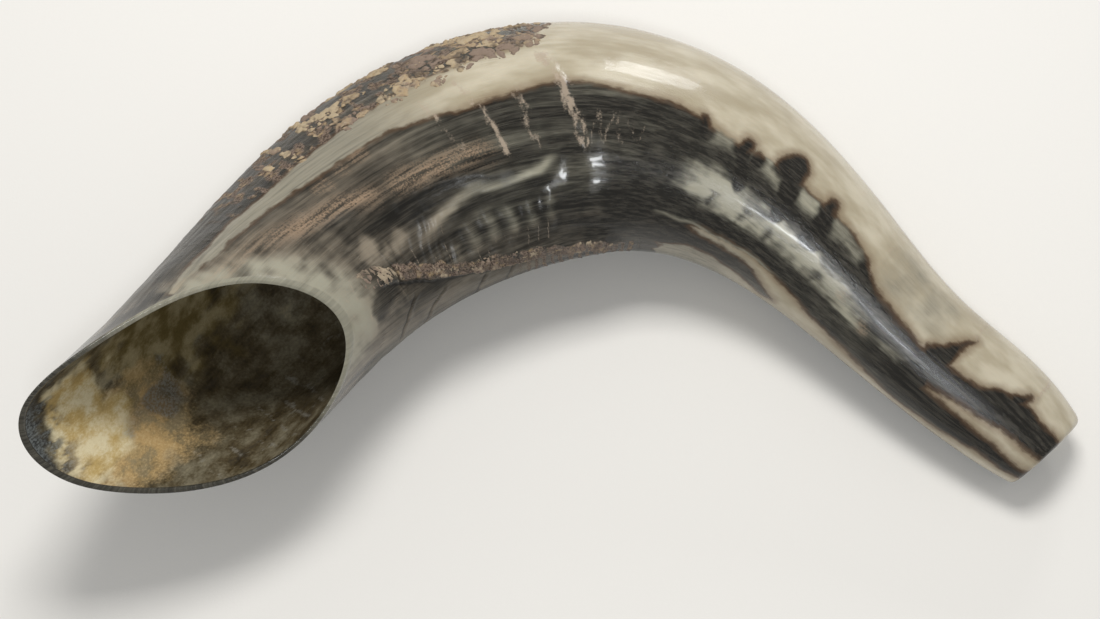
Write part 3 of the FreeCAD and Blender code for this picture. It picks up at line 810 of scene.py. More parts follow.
class Horn:
    """The outer and inner grids of the whole horn, with relief, normals and pigment."""

    def __init__(self, sizes):
        self.chart = chart = Chart(sizes)
        columns = chart.columns
        step = sizes.mesh_step / MM
        self.step = step

        # Rows of shares: whole rows up to the throat's ring, then fanned to the oblique rim.
        stretches = []
        last = 0.0
        edge = END_ROUND / chart.length
        first_rows = max(4, round((COLLAR - edge) * chart.length / step))
        stretches.append(np.linspace(edge, COLLAR, first_rows)[:, None] * np.ones(columns))
        low = chart.cut_shares(chart.outside, RIM_DEPTH)
        self.ring_end = np.minimum(THROAT, low - RING_MARGIN)
        last = COLLAR
        for name, end, _ in PIECES[1:]:
            count = round((end - last) * chart.length / step)
            stop = self.ring_end if end == THROAT else end * np.ones(columns)
            stretches.append(np.linspace(last * np.ones(columns), stop, count + 1)[1:])
            self.ring_start = last
            last = end
        straight = np.concatenate(stretches)
        cut = chart.cut_shares(chart.outside, 0.0)
        near_cut = cut - 0.22 * (cut - low)
        fan = np.linspace(0, 1, 131)[1:, None]
        bell = self.ring_end + fan * (low - self.ring_end)
        rim = low + np.linspace(0, 1, 9)[1:, None] * (near_cut - low)
        shares = np.concatenate((straight, bell, rim))

        ends = np.array([COLLAR] + [end for _, end, _ in PIECES[1:]])
        row_shares = straight[:, 0]
        outer_breaks = [int(np.argmin(np.abs(row_shares - end))) for end in ends]
        outer_breaks.append(len(straight) - 1 + len(bell))
        points = chart.outside(shares)
        flat_normals = grid_normals(points)
        grain = chart.grain(shares)
        field = Field(chart, shares, grain)
        to_rim = -((points - chart.cut_point) @ chart.cut_normal)
        to_rim = np.where(shares > 0.70, to_rim, 99.0)
        paint = paint_outside(field, to_rim)
        height = shape_relief(field, paint, to_rim) * sizes.relief
        height = height * ramp(shares, 0.0, 0.012)
        points = points + flat_normals * height[..., None]

        # The hollow and the bore, from the mouthpiece to the rim.
        inner_step = 3 * step
        bore_shares = np.concatenate((
            np.linspace(0.7, chart.cup_depth + 1, 12) / chart.length,
            np.linspace((chart.cup_depth + 3) / chart.length, COLLAR, 8),
            np.linspace(COLLAR, WAIST, round((WAIST - COLLAR) * chart.length / inner_step))[1:]))
        bore = chart.bore_rows(bore_shares)
        hollow_shares = []
        inner_low = chart.cut_shares(chart.inside, RIM_DEPTH)
        inner_end = np.minimum(THROAT, inner_low - RING_MARGIN)
        last = WAIST
        for name, end, _ in PIECES[2:]:
            count = round((end - last) * chart.length / inner_step)
            stop = inner_end if end == THROAT else end * np.ones(columns)
            rows = np.linspace(last * np.ones(columns), stop, count + 1)
            hollow_shares.append(rows[(0 if last == WAIST else 1):])
            last = end
        hollow_shares = np.concatenate(hollow_shares)
        inner_cut = chart.cut_shares(chart.inside, 0.0)
        inner_near = inner_cut - 0.15 * (inner_cut - inner_low)
        inner_bell = inner_end + np.linspace(0, 1, 61)[1:, None] * (inner_low - inner_end)
        inner_rim = inner_low + np.linspace(0, 1, 5)[1:, None] * (inner_near - inner_low)
        hollow_all = np.concatenate((hollow_shares, inner_bell, inner_rim))
        hollow = chart.inside(hollow_all)
        inner_shares = np.concatenate((bore_shares[:, None] * np.ones(columns), hollow_all))
        inner_points = np.concatenate((bore, hollow))
        inner_grain = chart.grain(inner_shares, 6.0)
        inner_field = Field(chart, inner_shares, inner_grain)
        inner_paint = paint_inside(inner_field)
        into_wall = grid_normals(hollow)
        wall_relief = 0.16 * noise(inner_grain[len(bore):] / (9, 9, 22), 401, 2)
        wall_relief += 0.10 * inner_paint["light"][len(bore):]
        wall_relief *= ramp(hollow_all, WAIST, WAIST + .02) * ramp(
            np.arange(len(hollow_all)), len(hollow_all) - 2, len(hollow_all) - 12)[:, None]
        inner_to_rim = -((hollow - chart.cut_point) @ chart.cut_normal)
        inner_to_rim = np.where(hollow_all > 0.70, inner_to_rim, 99.0)
        rim_out = chart.outside(cut[None])[0]
        rim_in = chart.inside(inner_cut[None])[0]
        wall = np.linalg.norm(rim_out - rim_in, axis=1)
        wall_way = (rim_out - rim_in) / wall[:, None]
        thinning = np.maximum(wall - LIP_PULL - LIP_WALL, 0)
        inner_points[len(bore):] -= into_wall * wall_relief[..., None]
        thinned = thinning * np.square(ramp(inner_to_rim, LIP_REACH, 0))
        inner_points[len(bore):] += wall_way * thinned[..., None]

        # The rounded edges: the ground end face at the mouthpiece, and the rim of the bell.
        rim_out = rim_out - wall_way * LIP_PULL
        rim_in = rim_in + wall_way * thinning[:, None]
        across = rim_in - rim_out
        top_outer = rim_out + across * 0.34
        top_inner = rim_out + across * 0.72
        rim_rows = corner(points[-1], rim_out, top_outer, 6)[1:]
        rim_rows += [top_outer, (top_outer + top_inner) / 2]
        rim_rows += corner(top_inner, rim_in, inner_points[-1], 6)
        face_out = chart.outside(np.zeros((1, columns)))[0]
        face_in = chart.bore_rows(np.array([1e-5]))[0]
        ray = face_in - face_out
        ray_length = np.linalg.norm(ray, axis=1)[:, None]
        near_out = face_out + ray / ray_length * END_ROUND
        near_in = face_in - ray / ray_length * CUP_ROUND
        face_rows = corner(inner_points[0], face_in, near_in, 4)[1:]
        face_rows += [near_in, (near_in + near_out) / 2, near_out * 0.9 + near_in * 0.1]
        face_rows += corner(near_out, face_out, points[0], 5)

        count_face, count_rim = len(face_rows), len(rim_rows)
        self.outer = np.concatenate((face_rows, points, rim_rows))
        self.inner = inner_points
        self.outer_paint = {
            name: np.concatenate((np.repeat(values[:1], count_face, 0), values,
                                  np.full((count_rim, columns), RIM_PAINT[name])))
            for name, values in paint.items()}
        column_angles = SEAM + 360 * np.arange(columns) / columns
        pale_side = ramp(np.abs(column_angles - PALE_SIDE), 90, 45)
        self.outer_paint["milk"][-count_rim:] = RIM_PAINT["milk"] + 0.55 * pale_side
        self.inner_paint = inner_paint
        spread = np.concatenate((face_rows, points[:1]))
        face_grain = np.repeat(grain[:1], count_face, 0)
        reach = np.linalg.norm(spread[:-1] - spread[0].mean(0), axis=2)
        outermost = np.linalg.norm(spread[-1] - spread[0].mean(0), axis=1)
        face_grain[..., :2] *= (reach / outermost)[..., None]
        self.outer_grain = np.concatenate((face_grain, grain, np.repeat(grain[-1:], count_rim, 0)))
        self.inner_grain = inner_grain
        loop = np.concatenate((self.outer, self.inner[::-1]))
        normals = grid_normals(loop, closed=True)
        self.outer_normals = normals[:len(self.outer)]
        self.inner_normals = normals[len(self.outer):][::-1]
        self.outer_breaks = [0] + [row + count_face for row in outer_breaks]
        self.outer_breaks.append(len(self.outer) - 1)
        inner_breaks = [0]
        for end in ends[:2]:
            inner_breaks.append(int(np.argmin(np.abs(bore_shares - end))))
        self.waist_row = len(bore)
        for end in ends[2:]:
            inner_breaks.append(len(bore) + int(np.argmin(np.abs(hollow_shares[:, 0] - end))))
        inner_breaks.append(len(self.inner) - 1 - len(inner_rim))
        inner_breaks.append(len(self.inner) - 1)
        self.inner_breaks = inner_breaks
        self.grid_shares = shares
        self.straight_rows = len(straight)
        self.count_face = count_face


def grid_normals(points, closed=False):
    """Outward normals of a grid of points; rows run along the horn, columns wrap round it."""
    if closed:
        along = np.roll(points, -1, 0) - np.roll(points, 1, 0)
    else:
        along = np.gradient(points, axis=0)
    around = np.roll(points, -1, 1) - np.roll(points, 1, 1)
    normal = np.cross(around, along)
    return normal / np.maximum(np.linalg.norm(normal, axis=2, keepdims=True), 1e-12)


# ---------------------------------------------------------------- shader graphs


class Value:
    """A node's output, or a number, that can be used in sums and products."""

    def __init__(self, graph, link):
        self.graph = graph
        self.link = link

    def maths(self, operation, *values):
        return self.graph.node("ShaderNodeMath", {"operation": operation},
                               dict(enumerate(values)))

    def __add__(self, other):
        return self.maths("ADD", self, other)

    def __sub__(self, other):
        return self.maths("SUBTRACT", self, other)

    def __mul__(self, other):
        return self.maths("MULTIPLY", self, other)

    def __rsub__(self, other):
        return self.maths("SUBTRACT", other, self)

    __radd__ = __add__
    __rmul__ = __mul__


class Graph:
    """A material's node tree, filled from expressions."""

    def __init__(self, name):
        self.material = bpy.data.materials.new(name)
        self.material.use_nodes = True
        self.tree = self.material.node_tree
        self.tree.nodes.clear()

    def node(self, kind, settings=None, inputs=None, output=0):
        """Add a node: its settings first, then the values or links of its sockets."""
        node = self.tree.nodes.new(kind)
        for name, value in (settings or {}).items():
            setattr(node, name, value)
        for name, value in (inputs or {}).items():
            if isinstance(value, Value):
                self.tree.links.new(value.link, node.inputs[name])
            else:
                node.inputs[name].default_value = value
        return Value(self, node.outputs[output]) if node.outputs else None

    def attribute(self, name, output="Fac"):
        return self.node("ShaderNodeAttribute", {"attribute_name": name}, output=output)

    def scaled(self, vector, scale):
        """A vector times three numbers."""
        return self.node("ShaderNodeVectorMath", {"operation": "MULTIPLY"}, {0: vector, 1: scale})

    def noise(self, vector, scale, detail=3.0, roughness=0.55):
        """Noise from 0 to 1, stretched by three numbers."""
        return self.node("ShaderNodeTexNoise", {"noise_dimensions": "3D"},
                         {"Vector": self.scaled(vector, scale), "Scale": 1.0, "Detail": detail,
                          "Roughness": roughness})

    def step(self, value, low, high):
        """0 to 1 between two values, smooth."""
        return self.node("ShaderNodeMapRange", {"interpolation_type": "SMOOTHSTEP"},
                         {"Value": value, "From Min": low, "From Max": high})

    def mix(self, factor, first, second):
        return self.node("ShaderNodeMix", {"data_type": "RGBA"},
                         {0: factor, 6: first, 7: second}, output=2)

    def bump(self, height, strength, distance, normal=None):
        inputs = {"Height": height, "Strength": strength, "Distance": distance}
        if normal is not None:
            inputs["Normal"] = normal
        return self.node("ShaderNodeBump", {}, inputs)

    def surface(self, inputs):
        shader = self.node("ShaderNodeBsdfPrincipled", {}, inputs)
        self.node("ShaderNodeOutputMaterial", {}, {"Surface": shader})
        return self.material


# Tones inside the materials that aren't settings.
BROWN_MILK = (0.25, 0.212, 0.16, 1)
VEIL_BROWN = (0.17, 0.115, 0.065, 1)
WORN_STREAK = (0.40, 0.325, 0.25, 1)
INSIDE_BLACK = (0.012, 0.009, 0.006, 1)
INSIDE_BROWN = (0.042, 0.036, 0.027, 1)
DARK_OLIVE = (0.10, 0.075, 0.025, 1)
OLIVE = (0.21, 0.165, 0.075, 1)
SAND = (0.27, 0.215, 0.125, 1)
OLD_GOLD = (0.42, 0.265, 0.10, 1)
GOLD_GRAIN = (0.56, 0.46, 0.28, 1)
HONEY = (0.52, 0.37, 0.14, 1)
BUTTER = (0.66, 0.58, 0.38, 1)
PALE_BARS = (0.26, 0.25, 0.215, 1)
DARK_SLATE = (0.04, 0.045, 0.048, 1)
PALE_SLATE = (0.15, 0.165, 0.165, 1)
BARK_TAN = (0.43, 0.355, 0.25, 1)
BARK_BROWN = (0.085, 0.066, 0.054, 1)
BARK_SIDES = (0.075, 0.058, 0.055, 1)
BARK_GRAIN = (0.50, 0.38, 0.21, 1)


def horn_material(name, colours, gloss):
    """Polished horn: dark, milky and clear horn in one, with its fibres, crust and cracks."""
    graph = Graph(name)
    grain = graph.attribute("grain", "Vector")
    fibre = graph.noise(grain, (1.1, 1.1, 0.045), 4.0, 0.6)
    hair = graph.noise(grain, (3.4, 3.4, 0.12), 2.0, 0.6)
    cloud = graph.noise(grain, (0.11, 0.11, 0.05), 3.0)
    grit = graph.noise(grain, (1.9, 1.9, 1.5), 4.0, 0.65)
    fine = graph.noise(grain, (0.55, 0.55, 0.35), 3.0)

    milk = graph.attribute("milk")
    crust = graph.attribute("crust")
    tan = graph.attribute("tan")
    light = graph.attribute("light")
    ink_and_shade = graph.attribute("ink_and_shade")
    ash = graph.attribute("ash")
    cream = graph.attribute("cream")

    swing = (fibre - 0.5) * 1.1 + (hair - 0.5) * 0.5
    milky = graph.step(milk + swing * (0.14 + milk * 0.55), 0.0, 1.10)
    dark = graph.mix(graph.step(fibre + (hair - 0.5) * 0.4, 0.38, 0.72), colours.black,
                     colours.slate)
    pale = graph.mix(ash, colours.milk, BROWN_MILK)
    base = graph.mix(milky, dark, pale)
    edge = cream + (fine - 0.5) * 1.8 + (hair - 0.5) * 0.7
    brown = graph.step(edge, -1.9, -0.1) * (1.0 - graph.step(milk, 0.25, 0.6)) * 0.75
    base = graph.mix(brown, base, colours.fringe)

    clear = graph.mix(graph.step(cloud, 0.35, 0.68), colours.cream, colours.ivory)
    clear = graph.mix(graph.step(hair, 0.55, 0.85) * 0.22, clear, colours.tan)
    veil = (1.0 - graph.step(edge, 0.0, 3.4)) * (1.0 - ash) * 0.62
    clear = graph.mix(veil, clear, VEIL_BROWN)
    ashen = graph.mix(graph.step(fibre, 0.40, 0.75) * 0.5, colours.ash, colours.slate)
    clear = graph.mix(ash, clear, ashen)
    base = graph.mix(graph.step(edge, -0.55, 0.75), base, clear)

    rusty = graph.mix(graph.step(grit * 0.5 + fibre * 0.5, 0.36, 0.56), colours.umber, colours.tan)
    base = graph.mix(tan * graph.step(fibre + (grit - 0.5) * 0.7, 0.30, 0.60) * 0.85, base, rusty)
    crumbly = graph.mix(graph.step(grit, 0.36, 0.62), colours.umber, colours.rose)
    crumbly = graph.mix(graph.step(fine, 0.50, 0.75) * 0.8, crumbly, colours.gold)
    base = graph.mix(graph.step(crust + (grit - 0.5) * 0.5, 0.22, 0.62) * 0.9, base, crumbly)
    base = graph.mix(graph.step(light + (grit - 0.5) * 1.3, 0.22, 0.85) * 0.75, base,
                     WORN_STREAK)
    # Darkens towards black: dark lines and cracks of the horn, and the painted shade in the creases,
    # grooves, dents and under the ridge.
    base = graph.mix(graph.step(ink_and_shade + (hair - 0.5) * 0.3, 0.10, 0.85) * 0.9, base, colours.black)

    satin = graph.attribute("satin")
    rough = gloss + graph.step(crust + tan * 0.6 + light * 0.5, 0.1, 0.8) * 0.42 + satin * 0.15
    rough = rough + (fibre - 0.5) * 0.16 + (cloud - 0.5) * 0.10
    fibres = graph.bump(fibre * 0.6 + hair * 0.4, 0.22, 0.0004)
    relief = graph.bump(grit * (0.12 + crust * 0.9), 0.55, 0.0009, fibres)
    return graph.surface({
        "Base Color": base, "Roughness": rough, "Normal": relief, "IOR": 1.54,
        "Coat Weight": 0.34 - satin * 0.29, "Coat Roughness": 0.07,
        "Subsurface Weight": 0.06, "Specular IOR Level": 0.36, "Subsurface Radius": (0.004, 0.0025, 0.0015)})


def hollow_material(name):
    """The wall of the hollow: unpolished horn, golden and cream near the bell."""
    graph = Graph(name)
    grain = graph.attribute("grain", "Vector")
    fibre = graph.noise(grain, (0.9, 0.9, 0.07), 4.0, 0.6)
    grit = graph.noise(grain, (1.6, 1.6, 1.2), 4.0, 0.65)
    cloud = graph.noise(grain, (0.16, 0.16, 0.12), 4.0)
    milk = graph.attribute("milk") + (cloud - 0.5) * 0.35
    base = graph.mix(graph.step(fibre, 0.30, 0.7), INSIDE_BLACK,
                     INSIDE_BROWN)
    olive = graph.mix(graph.step(cloud, 0.4, 0.65), DARK_OLIVE, OLIVE)
    base = graph.mix(graph.step(milk, 0.15, 0.75), base, olive)
    gold = graph.mix(graph.step(grit * 0.3 + cloud, 0.50, 0.72), SAND,
                     OLD_GOLD)
    gold = graph.mix(graph.step(grit, 0.52, 0.78) * 0.45, gold, GOLD_GRAIN)
    base = graph.mix(graph.step(graph.attribute("tan") + (grit - 0.5) * 0.8, 0.1, 1.1), base, gold)
    pale = graph.mix(graph.step(cloud + (grit - 0.5) * 0.3, 0.36, 0.62), HONEY,
                     BUTTER)
    edge = graph.attribute("cream") + (grit - 0.5) * 3.0 + (cloud - 0.5) * 6.0
    base = graph.mix(graph.step(edge, -5.5, 5.5), base, pale)
    base = graph.mix(graph.step(graph.attribute("light") + (grit - 0.5) * 0.9, 0.3, 0.9) * 0.6, base,
                     PALE_BARS)
    slate = graph.mix(graph.step(grit, 0.4, 0.6), DARK_SLATE, PALE_SLATE)
    base = graph.mix(graph.step(graph.attribute("ink_and_shade") + (grit - 0.5) * 0.5, 0.2, 0.8) * 0.85, base,
                     slate)
    rough = 0.48 + (fibre - 0.5) * 0.2 + (grit - 0.5) * 0.2
    relief = graph.bump(fibre * 0.5 + grit * 0.5, 0.5, 0.0006)
    return graph.surface({"Base Color": base, "Roughness": rough, "Normal": relief, "IOR": 1.54,
                          "Specular IOR Level": 0.2})


def bark_material(name, colours):
    """Outer bark: worn golden tops, purple-grey sides and dark cracks."""
    graph = Graph(name)
    place = graph.node("ShaderNodeTexCoord", {}, output="Object")
    grit = graph.noise(place, (900.0, 900.0, 900.0), 4.0, 0.65)
    patchy = graph.noise(place, (170.0, 170.0, 170.0), 3.0)
    height = graph.attribute("height")
    tint = graph.attribute("tint")
    gilt = graph.attribute("gilt")
    body = graph.mix(graph.step(patchy + (tint - 0.5) * 0.9, 0.25, 0.75) * gilt, colours.rose,
                     colours.gold)
    body = graph.mix(graph.step(tint + (grit - 0.5) * 1.4, 0.40, 0.80) * 0.75, body,
                     BARK_TAN)
    body = graph.mix(graph.step(patchy, 0.50, 0.66) * 0.85, body, BARK_BROWN)
    worn = graph.step(height + (grit - 0.5) * 0.8, 0.10, 0.55)
    sides = graph.mix(graph.step(grit, 0.4, 0.65), colours.umber, BARK_SIDES)
    base = graph.mix(worn, sides, body)
    base = graph.mix(graph.step(grit, 0.60, 0.80) * 0.45 * gilt, base, BARK_GRAIN)
    rough = 0.70 + (grit - 0.5) * 0.3
    relief = graph.bump(grit, 0.7, 0.0006)
    return graph.surface({"Base Color": base, "Roughness": rough, "Normal": relief, "IOR": 1.5})


def floor_material(colours):
    """A plain pale floor with a faint cloth grain."""
    graph = Graph("pale_floor")
    place = graph.node("ShaderNodeTexCoord", {}, output="Object")
    weave = graph.noise(place, (1300.0, 1300.0, 1.0), 2.0)
    slub = graph.noise(place, (900.0, 60.0, 1.0), 2.0)
    relief = graph.bump(weave * 0.6 + slub * 0.4, 0.18, 0.0003)
    return graph.surface({"Base Color": tuple(colours.floor), "Roughness": 0.9, "Normal": relief})


# ---------------------------------------------------------------- meshes


def horn_now():
    """The charted horn, made once for all the operators."""
    if not hasattr(horn_now, "horn"):
        horn_now.horn = Horn(bpy.context.scene.shofar_sizes)
    return horn_now.horn


def material_now(name):
    """A material by its name, made the first time it is asked for."""
    found = bpy.data.materials.get(name)
    if found:
        return found
    colours = bpy.context.scene.shofar_colours
    if name == "hollow_wall":
        return hollow_material(name)
    if name == "rough_bark":
        return bark_material(name, colours)
    gloss = {"ground_tip": 0.15, "polished_wall": 0.17, "polished_edge": 0.15}[name]
    return horn_material(name, colours, gloss)


def loop_mesh(name, outer, inner, paints, grains, normals, smooth_start, smooth_end):
    """A closed shell from outer rows and inner rows, with pigment, normals and a flat chart."""
    points = np.concatenate((outer, inner[::-1]))
    rows, columns = points.shape[:2]
    index = np.arange(rows * columns).reshape(rows, columns)
    after, beside = np.roll(index, -1, 0), np.roll(index, -1, 1)
    both = np.roll(beside, -1, 0)
    faces = np.stack((index, beside, both, after), axis=-1).reshape(-1, 4)
    mesh = bpy.data.meshes.new(name)
    mesh.vertices.add(rows * columns)
    mesh.vertices.foreach_set("co", (points.reshape(-1) * MM).astype(np.float32))
    mesh.loops.add(faces.size)
    mesh.loops.foreach_set("vertex_index", faces.reshape(-1).astype(np.int32))
    mesh.polygons.add(len(faces))
    mesh.polygons.foreach_set("loop_start", np.arange(len(faces), dtype=np.int32) * 4)
    mesh.update(calc_edges=True)
    mesh.polygons.foreach_set("use_smooth", np.ones(len(faces), bool))

    inner_face = np.zeros((rows, columns), np.int32)
    inner_face[len(outer):rows - 1] = 1
    mesh.polygons.foreach_set("material_index", inner_face.reshape(-1))

    smooth = np.concatenate((normals[0], normals[1][::-1])).reshape(-1, 3)
    corner_normals = smooth[faces].reshape(rows, columns, 4, 3)
    flat = np.cross(points[:, :] - np.roll(points, -1, 1), np.roll(points, -1, 0) - points)
    for row, is_smooth in ((len(outer) - 1, smooth_end), (rows - 1, smooth_start)):
        if not is_smooth:
            face = -flat[row] / np.maximum(np.linalg.norm(flat[row], axis=1, keepdims=True), 1e-12)
            corner_normals[row] = face[:, None]
    mesh.normals_split_custom_set(corner_normals.reshape(-1, 3).tolist())

    layer = mesh.uv_layers.new(name="OFBake")
    layer.data.foreach_set("uv", chart_corners(rows, columns, len(outer)).reshape(-1))
    for key in paints[0]:
        values = np.concatenate((paints[0][key], paints[1][key][::-1]))
        spot = mesh.attributes.new(key, "FLOAT", "POINT")
        spot.data.foreach_set("value", values.reshape(-1).astype(np.float32))
    spot = mesh.attributes.new("grain", "FLOAT_VECTOR", "POINT")
    grain = np.concatenate((grains[0], grains[1][::-1]))
    spot.data.foreach_set("vector", grain.reshape(-1).astype(np.float32))
    mesh.validate()
    return mesh


def chart_corners(rows, columns, outer_rows):
    """Places of each face's corners on the flat chart: outer rows, inner rows and ends apart."""
    low = np.zeros(rows)
    high = np.zeros(rows)
    inner_rows = rows - outer_rows
    outer_part = np.linspace(0.01, 0.70, outer_rows)
    inner_part = np.linspace(0.76, 0.97, inner_rows)
    low[:outer_rows - 1], high[:outer_rows - 1] = outer_part[:-1], outer_part[1:]
    low[outer_rows - 1], high[outer_rows - 1] = 0.71, 0.75
    low[outer_rows:rows - 1], high[outer_rows:rows - 1] = inner_part[:-1], inner_part[1:]
    low[rows - 1], high[rows - 1] = 0.975, 0.995
    left = 0.01 + 0.98 * np.arange(columns) / columns
    right = left + 0.98 / columns
    spots = np.empty((rows, columns, 4, 2), np.float32)
    for corner_number, (across, up) in enumerate(((0, 0), (1, 0), (1, 1), (0, 1))):
        spots[:, :, corner_number, 0] = (right if across else left)[None]
        spots[:, :, corner_number, 1] = (high if up else low)[:, None]
    return spots


def add_piece(name, mesh, slot_name, materials, *nodes):
    """Put a finished mesh in the scene as a piece that stands for its CAD nodes."""
    piece = bpy.data.objects.new(name, mesh)
    bpy.context.scene.collection.objects.link(piece)
    for material in materials[len(mesh.materials):]:
        mesh.materials.append(material_now(material))
    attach(piece, "root")
    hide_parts(*nodes)
    return piece


def build_stretch(number, name, slot_name, material):
    """One stretch of the horn between two breaks, named after its CAD node."""
    horn = horn_now()
    a, b = horn.outer_breaks[number], horn.outer_breaks[number + 1]
    c, d = horn.inner_breaks[number], horn.inner_breaks[number + 1]
    if number == 2:
        c = horn.waist_row
    mesh = loop_mesh(
        name + "_horn", horn.outer[a:b + 1], horn.inner[c:d + 1],
        ({key: value[a:b + 1] for key, value in horn.outer_paint.items()},
         {key: value[c:d + 1] for key, value in horn.inner_paint.items()}),
        (horn.outer_grain[a:b + 1], horn.inner_grain[c:d + 1]),
        (horn.outer_normals[a:b + 1], horn.inner_normals[c:d + 1]),
        smooth_start=number == 0, smooth_end=number == len(PIECES) + 1)
    return add_piece(name + "_horn", mesh, slot_name, (material, "hollow_wall"), name)


# ---------------------------------------------------------------- bark

KEEL_BARK_EDGE = ((.486, 131), (.497, 129), (.506, 127), (.522, 122), (.536, 122), (.547, 112),
                  (.555, 121), (.568, 112), (.580, 121), (.598, 114), (.612, 121), (.630, 119),
                  (.645, 115), (.656, 124), (.675, 127), (.70, 133))
KEEL_STRIPS = ((.643, 116, 150), (.662, 130, 176), (.688, 115, 168), (.706, 128, 150))
# How wide each patch's blocks are, along the horn and round it, in millimetres.
BLOCKS = {"bark_on_keel": (8.5, 10.0), "bark_on_face": (3.0, 3.0), "bark_on_back_ridge": (7.5, 2.0)}
GILT = {"bark_on_keel": 1.0, "bark_on_face": 0.6, "bark_on_back_ridge": 0.12}
BARKS = (
    ("bark_on_keel", .480, .725, 106, 222),
    ("bark_on_face", .525, .765, 64, 106),
    ("bark_on_back_ridge", .400, .790, -8, 11),
)


def bark_cover(name, field):
    """How thickly a bark patch covers the horn, from 0 to 1."""
    mottle = noise(field.grain / 4, 501, 3)
    if name == "bark_on_keel":
        inside = np.minimum(field.above(KEEL_BARK_EDGE), (214 + 9 * mottle - field.angle)
                            * field.per_degree)
        inside = np.minimum(inside, np.minimum(field.past(.488), -field.past(.668)))
        cover = ramp(inside + 2.2 * mottle, -0.6, 1.8)
        bare = ramp(noise(field.grain / (6, 6, 8), 503, 3), 0.0, 0.45)
        cover = cover * (1 - bare)
        for share, low, high in KEEL_STRIPS:
            strip = ramp(np.abs(field.past(share)) + 0.5 * mottle, 1.5, 0.7)
            strip = strip * ramp(field.angle, low - 1, low + 3) * ramp(field.angle, high + 3, high - 1)
            cover = np.maximum(cover, 0.8 * strip)
        return cover
    if name == "bark_on_face":
        band = hump(field.above(TAN_BAND), 2.3) * field.within(TAN_BAND, .04)
        flakes = ramp(noise(field.grain / (1.6, 1.6, 5.0), 505, 3), -0.15, 0.35)
        rosy = ramp(field.any_blob(ROSY_SPOTS), -0.6, 0.8)
        return 0.55 * np.maximum(band * flakes, rosy * flakes) * ramp(field.share, .76, .72)
    above = field.above(RIDGE)
    cover = ramp(above + 0.7 * mottle, -3.4, -2.3) * ramp(above + 1.3 * mottle, 4.4, 2.4)
    breaks = ramp(noise(field.grain / (6, 6, 7), 507, 3), -0.55, -0.20)
    return cover * breaks * field.within(RIDGE, .04)


def bark_mesh(name, first, last, low, high, tallest):
    """A closed crust: blocks and cracks on top, its flat side sunk in the horn."""
    horn = horn_now()
    chart = horn.chart
    along = round((last - first) * chart.length / 0.42)
    degree = float(chart.per_degree((first + last) / 2))
    around = round((high - low) * degree / 0.42)
    share = np.linspace(first, last, along)[:, None] * np.ones(around)
    angle = np.linspace(low, high, around)[None] * np.ones((along, 1))
    if name == "bark_on_back_ridge":
        angle = angle + np.interp(share, *zip(*RIDGE))
    column = ((angle - SEAM) / 360 * chart.columns) % chart.columns
    ring_end = np.interp(column, np.arange(chart.columns), horn.ring_end)
    start = horn.ring_start
    level = start + (share - start) * (THROAT - start) / (ring_end - start)
    level = np.where(share > start, level, share)
    row = np.interp(level, horn.grid_shares[:, 0][:horn.straight_rows],
                    np.arange(horn.straight_rows)) + horn.count_face
    points = read_grid(horn.outer, row, column)
    outward = read_grid(horn.outer_normals, row, column)
    grain = read_grid(horn.outer_grain, row, column)
    field = PatchField(chart, share, angle, grain)
    cover = bark_cover(name, field)
    wide_x, wide_y = BLOCKS[name]
    x = (share * chart.length + 1.9 * noise(grain / 4, 511, 3)) / wide_x
    y = (angle * degree + 2.4 * noise(grain / 5, 513, 3)) / wide_y
    nearest, second, number = cells(x, y, 517)
    near_small, second_small, small_number = cells(2.7 * x + 3.3, 3.1 * y, 523)
    veins = np.abs(noise(grain / (6, 6, 4.5), 531, 3) + 0.25 * noise(grain / 2, 533, 2))
    open_crack = ramp(second - nearest, 0.01, 0.16) * ramp(veins, 0.02, 0.22)
    splits = ramp(second_small - near_small, 0.0, 0.32)
    block = open_crack * (0.62 + 0.30 * number + 0.08 * splits * (0.4 + small_number))
    crumbs = noise(grain / (1.1, 1.1, 0.9), 519, 3)
    top = cover * (0.12 + 0.80 * block) * (1 + 0.45 * crumbs)
    number = 0.75 * number + 0.25 * small_number
    height = -0.35 + (tallest + 0.35) * top
    upper = points + outward * height[..., None]
    lower = points - outward * 1.0
    count = along * around
    grid = np.arange(count).reshape(along, around)
    quads = np.stack((grid[:-1, :-1], grid[:-1, 1:], grid[1:, 1:], grid[1:, :-1]), -1).reshape(-1, 4)
    edge = np.concatenate((grid[0, :-1], grid[:-1, -1], grid[-1, :0:-1], grid[:0:-1, 0]))
    following = np.roll(edge, -1)
    sides = np.stack((following, edge, edge + count, following + count), -1)
    faces = np.concatenate((quads, quads[:, ::-1] + count, sides))
    mesh = bpy.data.meshes.new(name)
    mesh.from_pydata((np.concatenate((upper, lower)).reshape(-1, 3) * MM).tolist(), [],
                     faces.tolist())
    mesh.polygons.foreach_set("use_smooth", np.ones(len(faces), bool))
    gilt = np.full(share.shape, GILT[name])
    for key, values in (("height", top), ("tint", number), ("gilt", gilt),
                        ("cover", cover * open_crack)):
        spot = mesh.attributes.new(key, "FLOAT", "POINT")
        both = np.concatenate((values.reshape(-1), np.zeros(count)))
        spot.data.foreach_set("value", both.astype(np.float32))
    mesh.update()
    return mesh


class PatchField(Field):
    """A field over a patch that has its own angles."""

    def __init__(self, chart, share, angle, grain):
        self.chart = chart
        self.grain = grain
        self.per_degree = chart.per_degree(share)
        self.share = share + 0.9 * noise(grain / 9, 11, 3) / chart.length
        self.angle = angle + 0.8 * noise(grain / 8, 31, 3) / self.per_degree


